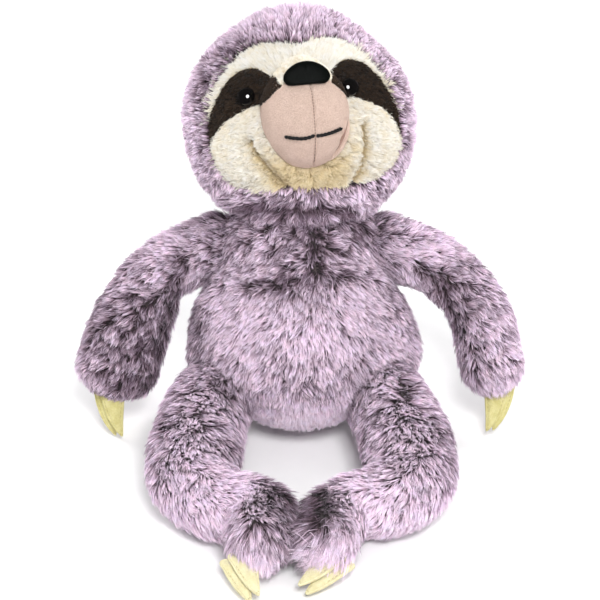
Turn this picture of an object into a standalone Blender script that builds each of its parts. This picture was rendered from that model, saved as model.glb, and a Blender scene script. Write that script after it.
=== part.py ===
"""A plush sloth, sitting on the floor with its feet together in front of it.

Blender 4.5, metres, +Z up, the sloth faces -Y. The origin is on the floor, in the middle of the
flat patch that the rump rests on. Left and right are the viewer's, seen from the front.

Every stuffed piece is a sphere drawn out along a spine. Its skin is the cloth with its pile, and
its stuffing fills the skin. Each limb starts in a ball that turns in a round seat of the body, and
a ring of seam lies between the two, as the rolled seam allowance does in the real toy.
"""
import math

import bmesh
import bpy
from mathutils import Matrix, Vector

MM = 0.001
SIDES = (("left", -1), ("right", 1))

# Cloth, gaps and seams
SKIN = 7 * MM  # backing cloth and pile
FACE_SINK = 2 * MM  # the face's short pile lies lower than the hood's
CLEAR = 0.3 * MM
CORE_CLEAR = 0.9 * MM  # round the stuffing, whose facets are coarse
SEAM_RADIUS = 1.5 * MM
SEAM_CLEAR = 0.5 * MM
MOUTH_FLARE = 2 * MM  # how much wider than its seat the mouth is that a limb comes out of
REST_CUT = 0.5 * MM  # how deep a form is cut flat where it rests on the floor
RUMP_CUT = 1.2 * MM  # the same for the rump, whose facets lie up to 0.7 mm inside its round form
OVERRUN = 20 * MM
WELD = 0.02 * MM

# Body
LEAN = math.radians(20)
NECK_LEAN = math.radians(12)
BELLY_HALF_WIDTH = 80 * MM
BELLY_HALF_DEPTH = 67 * MM
SEAT_HEIGHT = 52 * MM
CHEST_RISE = 66 * MM
NECK_BALL_RADIUS = 59 * MM
# Share of the chest's rise, and share of the way from the belly's size to the neck ball's
CHEST_SHARES = ((0.0, 0.0), (0.25, 0.12), (0.5, 0.34), (0.75, 0.68), (1.0, 1.0))

# Head
HEAD_RISE = 93 * MM  # from the neck ball's centre to the widest part of the head
HEAD_HALF_WIDTH = 79.5 * MM
HEAD_HALF_DEPTH = 64 * MM
CROWN_HEIGHT = 78 * MM
CHIN_HEIGHT = 77 * MM
HEAD_MIDDLE = 2 * MM
HEAD_PITCH = math.radians(28)
HEAD_YAW = math.radians(4)
HEAD_ROLL = math.radians(3.5)

# Face, as seen square on, measured from the widest part of the head
FACE_HALF_WIDTH = 66 * MM
FACE_TOP = 58 * MM
FACE_BOTTOM = 45 * MM
# Half of the face's outline, from the dip over the nose round to the chin
FACE_SHARES = (
    (0.0, 0.86), (0.20, 0.97), (0.48, 0.98), (0.74, 0.78), (0.93, 0.40), (1.0, -0.05),
    (0.97, -0.50), (0.82, -0.84), (0.52, -0.97), (0.22, -0.98), (0.0, -1.0),
)
EYE_SPREAD = 33.8 * MM
EYE_SHIFT = 2.8 * MM  # both eyes lie this far to the viewer's left
EYE_HEIGHT = 19 * MM
EYE_RADIUS = 6 * MM
EYE_DOME = 4.5 * MM
SHANK_RADIUS = 1.6 * MM
SHANK_LENGTH = 14 * MM
WASHER_RADIUS = 7 * MM
WASHER_THICKNESS = 1.5 * MM
WASHER_HUB = 3 * MM
WASHER_POCKET = 2 * MM
PATCH_SPREAD = 35.5 * MM
PATCH_HEIGHT = 21 * MM
PATCH_LENGTH = 58 * MM
# The patch's outline in shares of its length, from its middle: out is away from the nose
PATCH_SHARES = (
    (-0.34, 0.12), (-0.15, 0.29), (0.08, 0.275), (0.27, 0.10), (0.41, -0.16), (0.50, -0.50),
    (0.46, -0.70), (0.36, -0.45), (0.20, -0.28), (-0.02, -0.18), (-0.24, -0.10),
)

# Muzzle, nose and mouth
MUZZLE_HEIGHT = 5 * MM
MUZZLE_HALF_WIDTH = 28.8 * MM
MUZZLE_HALF_HEIGHT = 36 * MM
MUZZLE_HALF_DEPTH = 36 * MM
EGG_TAPER_SHARE = 0.36  # how much narrower the egg is at its top
MUZZLE_YAW = math.radians(3.7)  # further round than the head
MUZZLE_SEAT_SHARE = 0.88  # how far out the muzzle's centre lies, of the head's half depth
MUZZLE_CLOTH = 2.5 * MM
NOSE_HALF_WIDTH = 14.5 * MM
NOSE_HALF_HEIGHT = 10.5 * MM
NOSE_HALF_DEPTH = 7 * MM
NOSE_HEIGHT = 21 * MM  # above the muzzle's centre
NOSE_FLAT_SHARE = 0.45  # the flat lower edge, of the nose's half height
MOUTH_HALF_WIDTH = 19 * MM
MOUTH_DROP = 15 * MM  # below the muzzle's centre
MOUTH_SAG = 2 * MM
MOUTH_THREAD = 0.8 * MM
MOUTH_GAP = 1.1 * MM

# Arms. Spines are shares of the reach from the shoulder: out, forward, down
SHOULDER_SPREAD = 57 * MM
SHOULDER_BACK = 15 * MM
SHOULDER_HEIGHT = 121 * MM
ARM_REACH = 106 * MM
ARM_BALL_RADIUS = 25 * MM
HAND_CAP_SHARE = 0.95
LEFT_ARM_SHARES = ((0.0, 0.0, 0.0), (0.35, 0.06, 0.14), (0.53, 0.19, 0.39), (0.65, 0.37, 0.695))
RIGHT_ARM_SHARES = ((0.0, 0.0, 0.0), (0.35, 0.06, 0.11), (0.61, 0.19, 0.345), (0.705, 0.37, 0.655))
# Half width across and half depth at the same points, of the ball's radius
LEFT_ARM_SIZE_SHARES = ((1.0, 1.0), (0.94, 0.89), (1.13, 0.99), (1.21, 1.04))
RIGHT_ARM_SIZE_SHARES = ((1.0, 1.0), (0.89, 0.91), (0.91, 0.99), (0.93, 1.08))

# Legs
HIP_SPREAD = 49 * MM
HIP_FORWARD = 34 * MM
HIP_HEIGHT = 42 * MM
HIP_SPLAY = math.radians(48)  # which way the hip's mouth opens, out from straight ahead
LEG_REACH = 166 * MM
LEG_BALL_RADIUS = 31 * MM
FOOT_CAP_SHARE = 0.6
# Out and forward, then how far the spine has come down to rest on the floor
LEFT_LEG_SHARES = (
    (0.0, 0.0, 0.0), (0.09, 0.217, 0.45), (0.125, 0.428, 1.0), (0.117, 0.60, 1.0),
    (0.025, 0.72, 1.0), (-0.10, 0.755, 1.0), (-0.135, 0.92, 1.0),
)
RIGHT_LEG_SHARES = (
    (0.0, 0.0, 0.0), (0.09, 0.217, 0.45), (0.137, 0.42, 1.0), (0.135, 0.585, 1.0),
    (0.04, 0.705, 1.0), (-0.09, 0.745, 1.0), (-0.18, 0.89, 1.0),
)
LEG_SIZE_SHARES = (
    (1.0, 1.0), (0.98, 0.97), (1.04, 1.02), (0.96, 0.93), (0.84, 0.83), (0.73, 0.76), (0.68, 0.70),
)

# Claws: a flat crescent of felt, two on each hand and foot
CLAW_LENGTH = 27 * MM
CLAW_HALF_WIDTH = 8 * MM
CLAW_HALF_THICKNESS = 1.6 * MM
CLAW_EDGE = 0.7 * MM
CLAW_ROOT = 15 * MM  # hidden in the hand before it is trimmed to the skin
CLAW_SINK = 3 * MM  # how far inside the hand's round end a claw starts
HAND_CLAW_ASIDE = 6 * MM  # the claws sit on the outer half of a hand or foot
FOOT_CLAW_ASIDE = 15 * MM
FOOT_CLAW_LOW = 4 * MM  # below the middle of the foot
CLAW_SPACING = 5 * MM
CLAW_STAGGER = 9 * MM  # the outer claw lies this far behind the inner one
HAND_CLAW_LEAN = math.radians(25)  # forward of straight down
FOOT_CLAW_DROP = math.radians(13)  # below straight ahead
LEFT_FOOT_CLAW_TURN = math.radians(14)  # inward of straight ahead
RIGHT_FOOT_CLAW_TURN = math.radians(40)
CLAW_SHARES = (
    (-1.0, -1.0), (-1.0, 0.0), (-0.72, 0.38), (-0.30, 0.72), (0.30, 1.0), (0.52, 0.97),
    (0.72, 0.66), (0.92, 0.30), (1.0, 0.0), (1.0, -1.0),
)

# Room in the body for the lifted thighs
THIGH_LIFT = math.radians(-25)
THIGH_CLEAR = 1.5 * MM

# Facets of the drawn-out forms: round the spine, along it, and in each cap
BODY_FACETS = (32, 20, 5)
LIMB_FACETS = (20, 16, 5)
CORE_FACETS = (16, 12, 3)
HEAD_FACETS = (32, 20, 9)
HEAD_CORE_FACETS = (16, 12, 5)
SEAT_SEGMENTS, SEAT_STEPS = 24, 7
NECK_SEGMENTS, NECK_RINGS = 32, 20
# Facets of the egg: round and up it
MUZZLE_FACETS = (24, 16)
MUZZLE_CORE_FACETS = (16, 12)
NOSE_SEGMENTS, NOSE_RINGS = 20, 10
EYE_SEGMENTS, EYE_STEPS = 16, 4
SEAM_SIDES = 6
SEAM_POLAR = math.radians(42)
NECK_SEAM_POLAR = math.radians(45)
SPINE_SAMPLES = 24
OUTLINE_SAMPLES = 4
THREAD_POINTS = 7

COLOURS = {
    "lilac_plush": (0.56, 0.44, 0.47, 0.95),
    "cream_plush": (0.86, 0.80, 0.64, 0.9),
    "brown_plush": (0.07, 0.035, 0.02, 0.9),
    "peach_velour": (0.72, 0.50, 0.40, 0.85),
    "black_velour": (0.012, 0.011, 0.011, 0.8),
    "black_thread": (0.012, 0.011, 0.011, 0.6),
    "black_plastic": (0.006, 0.006, 0.006, 0.08),
    "white_plastic": (0.8, 0.8, 0.78, 0.4),
    "yellow_felt": (0.76, 0.66, 0.27, 0.85),
    "polyester_stuffing": (0.9, 0.9, 0.9, 1.0),
    "seam_cloth": (0.30, 0.22, 0.22, 0.95),
}


def clear_scene():
    for thing in list(bpy.data.objects):
        bpy.data.objects.remove(thing, do_unlink=True)


def new_collection(name):
    collection = bpy.data.collections.new(name)
    bpy.context.scene.collection.children.link(collection)
    return collection


def material(name):
    made = bpy.data.materials.get(name)
    if made:
        return made
    red, green, blue, roughness = COLOURS[name]
    made = bpy.data.materials.new(name)
    made.use_nodes = True
    shader = made.node_tree.nodes["Principled BSDF"]
    shader.inputs["Base Color"].default_value = (red, green, blue, 1)
    shader.inputs["Roughness"].default_value = roughness
    made.diffuse_color = (red, green, blue, 1)
    return made


def keep(thing, name, finish, parent=None):
    """Names a piece, gives it its material and puts it among the parts."""
    for owner in list(thing.users_collection):
        owner.objects.unlink(thing)
    PARTS.objects.link(thing)
    thing.name = thing.data.name = name
    thing.data.materials.clear()
    thing.data.materials.append(material(finish))
    thing.data.shade_smooth()
    attach(thing, parent)
    return thing


def as_cutter(thing, name, parent=None):
    for owner in list(thing.users_collection):
        owner.objects.unlink(thing)
    CUTTERS.objects.link(thing)
    thing.name = thing.data.name = name
    thing.hide_render = True
    thing.display_type = "WIRE"
    attach(thing, parent)
    return thing


def attach(thing, parent):
    """Parents thing to an empty without moving it."""
    if parent is not None:
        bpy.context.view_layer.update()
        place = thing.matrix_world.copy()
        thing.parent = parent
        thing.matrix_world = place


def joint_empty(name, place, parent=None):
    empty = bpy.data.objects.new(name, None)
    PARTS.objects.link(empty)
    empty.empty_display_size = SKIN
    empty.location = place
    attach(empty, parent)
    bpy.context.view_layer.update()
    return empty


def boolean(thing, other, operation="DIFFERENCE"):
    step = thing.modifiers.new(other.name, "BOOLEAN")
    step.operation = operation
    step.solver = "EXACT"
    step.object = other


def between(a, b, c, d, t):
    """The point at share t of the way from b to c on the Catmull-Rom curve through four vectors."""
    bend = (2 * a - 5 * b + 4 * c - d) * t ** 2
    twist = (3 * b - a - 3 * c + d) * t ** 3
    return (2 * b + (c - a) * t + bend + twist) / 2


def smooth_path(points):
    """Points along a smooth curve through the given vectors."""
    ends = [2 * points[0] - points[1], *points, 2 * points[-1] - points[-2]]
    path = []
    for a, b, c, d in zip(ends, ends[1:], ends[2:], ends[3:]):
        path += [between(a, b, c, d, step / SPINE_SAMPLES) for step in range(SPINE_SAMPLES)]
    path.append(points[-1].copy())
    return path


class Spine:
    """A smooth path with the half sizes of the form that is drawn out along it."""

    def __init__(self, points, sizes, inset=0.0):
        places = [Vector(p) for p in points]
        halves = [Vector((side - inset, other - inset, 0)) for side, other in sizes]
        self.places = smooth_path(places)
        self.halves = smooth_path(halves)
        self.lengths = [0.0]
        for a, b in zip(self.places, self.places[1:]):
            self.lengths.append(self.lengths[-1] + (b - a).length)

    def at(self, length):
        """Place, tangent and half sizes at a length, with straight runs past both ends."""
        last = len(self.places) - 2
        i = 0
        while i < last and self.lengths[i + 1] < length:
            i += 1
        a, b = self.places[i], self.places[i + 1]
        t = (length - self.lengths[i]) / (b - a).length
        share = min(max(t, 0.0), 1.0)
        return a.lerp(b, t), (b - a).normalized(), self.halves[i].lerp(self.halves[i + 1], share)


def draw_out(spine, caps, reference, segments, rings, cap_rings):
    """A UV sphere drawn out along the spine, with rounded caps past its two ends."""
    bpy.ops.mesh.primitive_uv_sphere_add(segments=segments, ring_count=rings, radius=1)
    form = bpy.context.active_object
    start_cap, end_cap = caps
    straight = spine.lengths[-1]
    for vertex in form.data.vertices:
        polar = math.acos(max(-1.0, min(1.0, vertex.co.z)))
        ring = round(polar / math.pi * rings)
        if ring <= cap_rings:
            turn = ring / cap_rings * math.pi / 2
            length, share = -start_cap * math.cos(turn), math.sin(turn)
        elif ring >= rings - cap_rings:
            turn = (rings - ring) / cap_rings * math.pi / 2
            length, share = straight + end_cap * math.cos(turn), math.sin(turn)
        else:
            length = straight * (ring - cap_rings) / (rings - 2 * cap_rings)
            share = 1.0
        place, tangent, halves = spine.at(length)
        side = tangent.cross(reference).normalized()
        other = side.cross(tangent)
        round_share = math.sin(polar) or 1.0
        vertex.co = (
            place
            + side * (halves.x * share * vertex.co.x / round_share)
            + other * (halves.y * share * vertex.co.y / round_share)
        )
    form.data.update()
    return form


def ball(place, radius, axis, segments, rings):
    """A sphere whose poles lie on the axis."""
    bpy.ops.mesh.primitive_uv_sphere_add(segments=segments, ring_count=rings, radius=radius)
    made = bpy.context.active_object
    made.data.transform(axis.to_track_quat("Z", "Y").to_matrix().to_4x4())
    made.location = place
    return made


def block(low, high):
    bpy.ops.mesh.primitive_cube_add(size=1)
    made = bpy.context.active_object
    low, high = Vector(low), Vector(high)
    made.data.transform(Matrix.Translation((low + high) / 2) @ Matrix.Diagonal((high - low).to_4d()))
    return made


def seat_radius(ball_radius):
    """The radius of the round seat that holds a ball with its ring of seam."""
    return ball_radius + 2 * (SEAM_CLEAR + SEAM_RADIUS)


def seam_ring(name, centre, ball_radius, axis, polar, segments, parent):
    """A ring of rolled seam allowance on the ball, round the axis."""
    reach = ball_radius + SEAM_CLEAR + SEAM_RADIUS
    bpy.ops.mesh.primitive_torus_add(
        major_radius=reach * math.sin(polar),
        minor_radius=SEAM_RADIUS,
        major_segments=segments,
        minor_segments=SEAM_SIDES,
    )
    ring = bpy.context.active_object
    ring.data.transform(axis.to_track_quat("Z", "Y").to_matrix().to_4x4())
    ring.location = centre + axis * (reach * math.cos(polar))
    return keep(ring, name, "seam_cloth", parent)


def closed_outline(points):
    """A smooth closed outline through hand-placed corners."""
    path = []
    count = len(points)
    for i in range(count):
        a, b, c, d = (Vector((*points[(i + k) % count], 0)) for k in (-1, 0, 1, 2))
        path += [between(a, b, c, d, step / OUTLINE_SAMPLES) for step in range(OUTLINE_SAMPLES)]
    return path


def grown(path, by):
    """An outline moved outwards by a distance, or inwards where it is negative."""
    area = sum(a.x * b.y - b.x * a.y for a, b in zip(path, path[1:] + path[:1]))
    turn = 1 if area > 0 else -1
    moved = []
    for before, here, after in zip(path[-1:] + path[:-1], path, path[1:] + path[:1]):
        along = (after - before).normalized()
        moved.append(here + Vector((along.y, -along.x, 0)) * (by * turn))
    return moved


def curve_to_mesh(curve_object):
    """A welded mesh object in place of a curve object."""
    bpy.context.view_layer.update()
    seen = curve_object.evaluated_get(bpy.context.evaluated_depsgraph_get())
    mesh = bpy.data.meshes.new_from_object(seen)
    weld = bmesh.new()
    weld.from_mesh(mesh)
    bmesh.ops.remove_doubles(weld, verts=weld.verts, dist=WELD)
    bmesh.ops.recalc_face_normals(weld, faces=weld.faces)
    weld.to_mesh(mesh)
    weld.free()
    made = bpy.data.objects.new(curve_object.name, mesh)
    bpy.context.scene.collection.objects.link(made)
    made.matrix_world = curve_object.matrix_world.copy()
    bpy.data.objects.remove(curve_object, do_unlink=True)
    return made


def slab(path, half_thickness, edge=0.0):
    """A flat outline with thickness, as a mesh object in the XY plane."""
    curve = bpy.data.curves.new("outline", "CURVE")
    curve.dimensions = "2D"
    curve.fill_mode = "BOTH"
    curve.extrude = half_thickness - edge
    curve.bevel_depth = edge
    curve.bevel_resolution = 0
    curve.offset = -edge
    spline = curve.splines.new("POLY")
    spline.points.add(len(path) - 1)
    for point, place in zip(spline.points, path):
        point.co = (place.x, place.y, 0, 1)
    spline.use_cyclic_u = True
    drawn = bpy.data.objects.new("outline", curve)
    bpy.context.scene.collection.objects.link(drawn)
    return curve_to_mesh(drawn)


def thread(points, radius):
    """A round thread through the points, as a mesh object."""
    curve = bpy.data.curves.new("thread", "CURVE")
    curve.dimensions = "3D"
    curve.bevel_depth = radius
    curve.bevel_resolution = 1
    curve.use_fill_caps = True
    spline = curve.splines.new("POLY")
    spline.points.add(len(points) - 1)
    for point, place in zip(spline.points, points):
        point.co = (*place, 1)
    drawn = bpy.data.objects.new("thread", curve)
    bpy.context.scene.collection.objects.link(drawn)
    return curve_to_mesh(drawn)


def turned(profile, segments):
    """A solid turned round Z from a profile of (radius, height), top to bottom."""
    mesh = bpy.data.meshes.new("turned")
    mesh.from_pydata([(r, 0, z) for r, z in profile], [(i, i + 1) for i in range(len(profile) - 1)], [])
    made = bpy.data.objects.new("turned", mesh)
    bpy.context.scene.collection.objects.link(made)
    screw = made.modifiers.new("turn", "SCREW")
    screw.steps = screw.render_steps = segments
    screw.use_merge_vertices = True
    screw.merge_threshold = WELD
    return made


# The body


def body_axis():
    return Vector((0, math.sin(LEAN), math.cos(LEAN)))


def neck_axis():
    return Vector((0, math.sin(NECK_LEAN), math.cos(NECK_LEAN)))


def belly_centre():
    """The middle of the belly, which rests the lowest point of the leaning rump on the origin."""
    low = math.hypot(SEAT_HEIGHT * math.cos(LEAN), BELLY_HALF_DEPTH * math.sin(LEAN))
    back = (BELLY_HALF_DEPTH ** 2 - SEAT_HEIGHT ** 2) * math.sin(LEAN) * math.cos(LEAN) / low
    return Vector((0, -back, low - RUMP_CUT))


def neck_centre():
    return belly_centre() + body_axis() * CHEST_RISE


def torso_form(inset, segments, rings, cap_rings):
    points, sizes = [], []
    for rise, narrow in CHEST_SHARES:
        points.append(belly_centre() + body_axis() * (CHEST_RISE * rise))
        sizes.append((
            BELLY_HALF_WIDTH + (NECK_BALL_RADIUS - BELLY_HALF_WIDTH) * narrow,
            BELLY_HALF_DEPTH + (NECK_BALL_RADIUS - BELLY_HALF_DEPTH) * narrow,
        ))
    spine = Spine(points, sizes, inset)
    caps = (SEAT_HEIGHT - inset, NECK_BALL_RADIUS - inset)
    return draw_out(spine, caps, Vector((0, 1, 0)), segments, rings, cap_rings)


def floor_cutter():
    reach = LEG_REACH + BELLY_HALF_WIDTH + OVERRUN
    return as_cutter(block((-reach, -2 * reach, -OVERRUN), (reach, reach, 0)), "cut_floor")


def seat_cutter(name, centre, radius, outward):
    """A round seat that opens outwards to a mouth a little wider than the seat."""
    wide, far = radius + MOUTH_FLARE, radius + OVERRUN
    start = math.asin(MOUTH_FLARE / radius)
    turns = [start + (math.pi / 2 - start) * step / SEAT_STEPS for step in range(SEAT_STEPS + 1)]
    profile = [(0, far), (wide, far), (wide, -MOUTH_FLARE)]
    profile += [(radius * math.cos(turn), -radius * math.sin(turn)) for turn in turns[:-1]] + [(0, -radius)]
    seat = turned(profile, SEAT_SEGMENTS)
    seat.matrix_world = Matrix.Translation(centre) @ outward.to_track_quat("Z", "Y").to_matrix().to_4x4()
    return as_cutter(seat, name)


def body_seats():
    """The seats of the four limbs, cut from the body."""
    seats = []
    for side, sign in SIDES:
        for limb, centre, radius, outward in (
            ("shoulder", shoulder(sign), ARM_BALL_RADIUS, Vector((sign, 0, 0))),
            ("hip", hip(sign), LEG_BALL_RADIUS, hip_outward(sign)),
        ):
            seats.append(seat_cutter(f"cut_{limb}_seat_{side}", centre, seat_radius(radius), outward))
    return seats


def make_torso(floor, seats):
    skin = keep(torso_form(0, *BODY_FACETS), "torso_skin", "lilac_plush")
    hollow = as_cutter(torso_form(SKIN, *CORE_FACETS), "cut_torso_hollow")
    core = keep(torso_form(SKIN + CORE_CLEAR, *CORE_FACETS), "torso_stuffing", "polyester_stuffing")
    boolean(skin, hollow)
    boolean(skin, floor)
    for cutter in seats:
        boolean(skin, cutter)
        boolean(core, cutter)


# The head


def head_matrix():
    """The head's own frame: X to its right as seen, -Y out of the face, Z up the face."""
    centre = neck_centre() + neck_axis() * HEAD_RISE
    turn = Matrix.Rotation(HEAD_YAW, 4, "Z") @ Matrix.Rotation(-HEAD_PITCH, 4, "X")
    return Matrix.Translation(centre) @ turn @ Matrix.Rotation(-HEAD_ROLL, 4, "Y")


def head_form(inset, segments, rings, cap_rings):
    points = [(0, 0, 0), (0, 0, HEAD_MIDDLE)]
    sizes = [(HEAD_HALF_WIDTH, HEAD_HALF_DEPTH)] * 2
    caps = (CHIN_HEIGHT - inset, CROWN_HEIGHT - inset)
    form = draw_out(Spine(points, sizes, inset), caps, Vector((0, 1, 0)), segments, rings, cap_rings)
    form.matrix_world = head_matrix()
    return form


def face_path():
    half = [(x * FACE_HALF_WIDTH, z * (FACE_TOP if z > 0 else FACE_BOTTOM)) for x, z in FACE_SHARES]
    return closed_outline(half + [(-x, z) for x, z in half[-2:0:-1]])


def patch_path(sign):
    return closed_outline([
        (sign * (PATCH_SPREAD + out * PATCH_LENGTH), PATCH_HEIGHT + up * PATCH_LENGTH)
        for out, up in PATCH_SHARES
    ])


def face_prism(path, name, parent, start=0.0):
    """A prism of an outline on the face, from the middle of the head forward."""
    reach = HEAD_HALF_DEPTH + OVERRUN
    prism = slab(path, reach / 2)
    upright = Matrix.Rotation(math.pi / 2, 4, "X")
    prism.matrix_world = head_matrix() @ Matrix.Translation((0, -reach / 2 - start, 0)) @ upright
    return as_cutter(prism, name, parent)


def face_piece(name, finish, prism, parent):
    """A piece of cloth that follows the head's round front inside an outline."""
    piece = keep(head_form(FACE_SINK, *HEAD_FACETS), name, finish, parent)
    boolean(piece, prism, "INTERSECT")
    boolean(piece, bpy.data.objects["cut_head_hollow"])
    return piece


def face_depth(x, z, inset=FACE_SINK):
    """How far out of the head's centre the face's surface lies."""
    tall = (CROWN_HEIGHT if z > 0 else CHIN_HEIGHT) - inset
    left = 1 - (x / (HEAD_HALF_WIDTH - inset)) ** 2 - (z / tall) ** 2
    return (HEAD_HALF_DEPTH - inset) * math.sqrt(max(left, 0))


def face_normal(x, z):
    """The direction that the face's surface looks in, in the head's frame."""
    tall = CROWN_HEIGHT if z > 0 else CHIN_HEIGHT
    depth = face_depth(x, z)
    slope = Vector((x / HEAD_HALF_WIDTH ** 2, -depth / HEAD_HALF_DEPTH ** 2, z / tall ** 2))
    return slope.normalized()


def make_head(neck_seat, parent):
    skin = keep(head_form(0, *HEAD_FACETS), "head_skin", "lilac_plush", parent)
    hollow = head_form(SKIN, *HEAD_CORE_FACETS)
    hollow = as_cutter(hollow, "cut_head_hollow", parent)
    core = head_form(SKIN + CORE_CLEAR, *HEAD_CORE_FACETS)
    core = keep(core, "head_stuffing", "polyester_stuffing", parent)
    window = face_prism(face_path(), "cut_face_window", parent)
    boolean(skin, hollow)
    boolean(skin, window)
    boolean(skin, neck_seat)
    boolean(core, neck_seat)
    face_area = face_prism(grown(face_path(), -CLEAR), "cut_face_area", parent, CLEAR)
    face = face_piece("face_panel", "cream_plush", face_area, parent)
    for side, sign in SIDES:
        hole = face_prism(grown(patch_path(sign), CLEAR), f"cut_patch_hole_{side}", parent)
        area = face_prism(patch_path(sign), f"cut_patch_area_{side}", parent)
        boolean(face, hole)
        patch = face_piece(f"eye_patch_{side}", "brown_plush", area, parent)
        make_eye(side, sign, patch, core, parent)


def eye_frame(sign):
    """The eye's frame, with Z out of the face at the patch's surface."""
    x, z = sign * EYE_SPREAD - EYE_SHIFT, EYE_HEIGHT
    out = face_normal(x, z)
    place = Vector((x, -face_depth(x, z), z))
    return head_matrix() @ Matrix.Translation(place) @ out.to_track_quat("Z", "Y").to_matrix().to_4x4()


def make_eye(side, sign, patch, core, parent):
    """A dome of black plastic, whose shank goes through the cloth into a lock washer."""
    frame = eye_frame(sign)
    dome = [
        (EYE_RADIUS * math.sin(turn), CLEAR + EYE_DOME * math.cos(turn))
        for turn in (math.pi / 2 * step / EYE_STEPS for step in range(EYE_STEPS + 1))
    ]
    profile = dome + [(SHANK_RADIUS, CLEAR), (SHANK_RADIUS, -SHANK_LENGTH), (0, -SHANK_LENGTH)]
    eye = keep(turned(profile, EYE_SEGMENTS), f"eye_{side}", "black_plastic")
    eye.matrix_world = frame
    attach(eye, parent)
    bore = SHANK_RADIUS + CLEAR
    hole = turned([(0, OVERRUN), (bore, OVERRUN), (bore, -OVERRUN), (0, -OVERRUN)], EYE_SEGMENTS)
    hole.matrix_world = frame
    as_cutter(hole, f"cut_shank_hole_{side}", parent)
    boolean(patch, hole)
    top = -(SKIN - FACE_SINK) - WASHER_POCKET
    low = top - WASHER_THICKNESS
    washer = keep(
        turned([(bore, top), (WASHER_RADIUS, top), (WASHER_RADIUS, low), (WASHER_HUB, low),
                (WASHER_HUB, low - WASHER_THICKNESS), (bore, low - WASHER_THICKNESS), (bore, top)],
               EYE_SEGMENTS),
        f"eye_washer_{side}",
        "white_plastic",
    )
    washer.matrix_world = frame
    attach(washer, parent)
    wide = WASHER_RADIUS + CLEAR
    deep = -SHANK_LENGTH - CLEAR
    pocket = turned([(0, OVERRUN), (wide, OVERRUN), (wide, deep), (0, deep)], EYE_SEGMENTS)
    pocket.matrix_world = frame
    as_cutter(pocket, f"cut_washer_pocket_{side}", parent)
    boolean(core, pocket)


def muzzle_matrix():
    place = Vector((0, -MUZZLE_SEAT_SHARE * HEAD_HALF_DEPTH, MUZZLE_HEIGHT))
    return head_matrix() @ Matrix.Translation(place) @ Matrix.Rotation(MUZZLE_YAW, 4, "Z")


def muzzle_form(inset, segments, rings):
    """An egg, narrower at the top, where the nose sits."""
    bpy.ops.mesh.primitive_uv_sphere_add(segments=segments, ring_count=rings, radius=1)
    form = bpy.context.active_object
    for vertex in form.data.vertices:
        vertex.co = egg_point(vertex.co, inset)
    form.data.update()
    form.matrix_world = muzzle_matrix()
    return form


def egg_point(unit, inset=0.0):
    """The point of the muzzle's egg for a point of the unit sphere."""
    narrow = 1 - EGG_TAPER_SHARE * max(unit.z, 0) ** 2
    return Vector((
        unit.x * (MUZZLE_HALF_WIDTH - inset) * narrow,
        unit.y * (MUZZLE_HALF_DEPTH - inset) * narrow,
        unit.z * (MUZZLE_HALF_HEIGHT - inset),
    ))


def egg_front(x, z, inset=0.0):
    """The point on the egg's front at a width and a height from its centre."""
    up = z / (MUZZLE_HALF_HEIGHT - inset)
    narrow = 1 - EGG_TAPER_SHARE * max(up, 0) ** 2
    across = x / ((MUZZLE_HALF_WIDTH - inset) * narrow)
    out = math.sqrt(max(1 - up ** 2 - across ** 2, 0))
    return Vector((x, -out * (MUZZLE_HALF_DEPTH - inset) * narrow, z))


def make_muzzle(parent):
    skin = keep(muzzle_form(0, *MUZZLE_FACETS), "muzzle_skin", "peach_velour", parent)
    hollow = muzzle_form(MUZZLE_CLOTH, *MUZZLE_CORE_FACETS)
    hollow = as_cutter(hollow, "cut_muzzle_hollow", parent)
    core = muzzle_form(MUZZLE_CLOTH + CORE_CLEAR, *MUZZLE_CORE_FACETS)
    core = keep(core, "muzzle_stuffing", "polyester_stuffing", parent)
    back = head_form(FACE_SINK - CLEAR, *HEAD_FACETS)
    back = as_cutter(back, "cut_muzzle_back", parent)
    boolean(skin, hollow)
    boolean(skin, back)
    boolean(core, back)
    make_nose(parent)
    for side, sign in SIDES:
        make_mouth(side, sign, parent)


def make_nose(parent):
    bpy.ops.mesh.primitive_uv_sphere_add(segments=NOSE_SEGMENTS, ring_count=NOSE_RINGS, radius=1)
    nose = bpy.context.active_object
    nose.data.transform(Matrix.Diagonal((NOSE_HALF_WIDTH, NOSE_HALF_DEPTH, NOSE_HALF_HEIGHT, 1)))
    seat = egg_front(0, NOSE_HEIGHT)
    nose.matrix_world = muzzle_matrix() @ Matrix.Translation(seat)
    keep(nose, "nose", "black_velour", parent)
    wide = NOSE_HALF_WIDTH + OVERRUN
    low = -NOSE_HALF_HEIGHT * NOSE_FLAT_SHARE
    flat = block((-wide, -wide, -wide), (wide, wide, low))
    flat.matrix_world = muzzle_matrix() @ Matrix.Translation(seat)
    as_cutter(flat, "cut_nose_flat", parent)
    seat = as_cutter(muzzle_form(-CLEAR, *MUZZLE_FACETS), "cut_nose_seat", parent)
    back = as_cutter(head_form(-CLEAR, *HEAD_FACETS), "cut_nose_back", parent)
    boolean(nose, flat)
    boolean(nose, seat)
    boolean(nose, back)


def make_mouth(side, sign, parent):
    """One half of the stitched smile, a thread that lies on the muzzle."""
    points = []
    for step in range(THREAD_POINTS):
        share = step / (THREAD_POINTS - 1)
        x = sign * (MOUTH_GAP + (MOUTH_HALF_WIDTH - MOUTH_GAP) * share)
        z = -MOUTH_DROP - MOUTH_SAG * math.sin(math.pi * share)
        points.append(egg_front(x, z, -(MOUTH_THREAD + CLEAR)))
    line = thread(points, MOUTH_THREAD)
    line.matrix_world = muzzle_matrix()
    keep(line, f"mouth_{side}", "black_thread", parent)


# The limbs


def shoulder(sign):
    return Vector((sign * SHOULDER_SPREAD, SHOULDER_BACK, SHOULDER_HEIGHT))


def hip(sign):
    return Vector((sign * HIP_SPREAD, -HIP_FORWARD, HIP_HEIGHT))


def hip_outward(sign):
    return Vector((sign * math.sin(HIP_SPLAY), -math.cos(HIP_SPLAY), 0))


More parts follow.
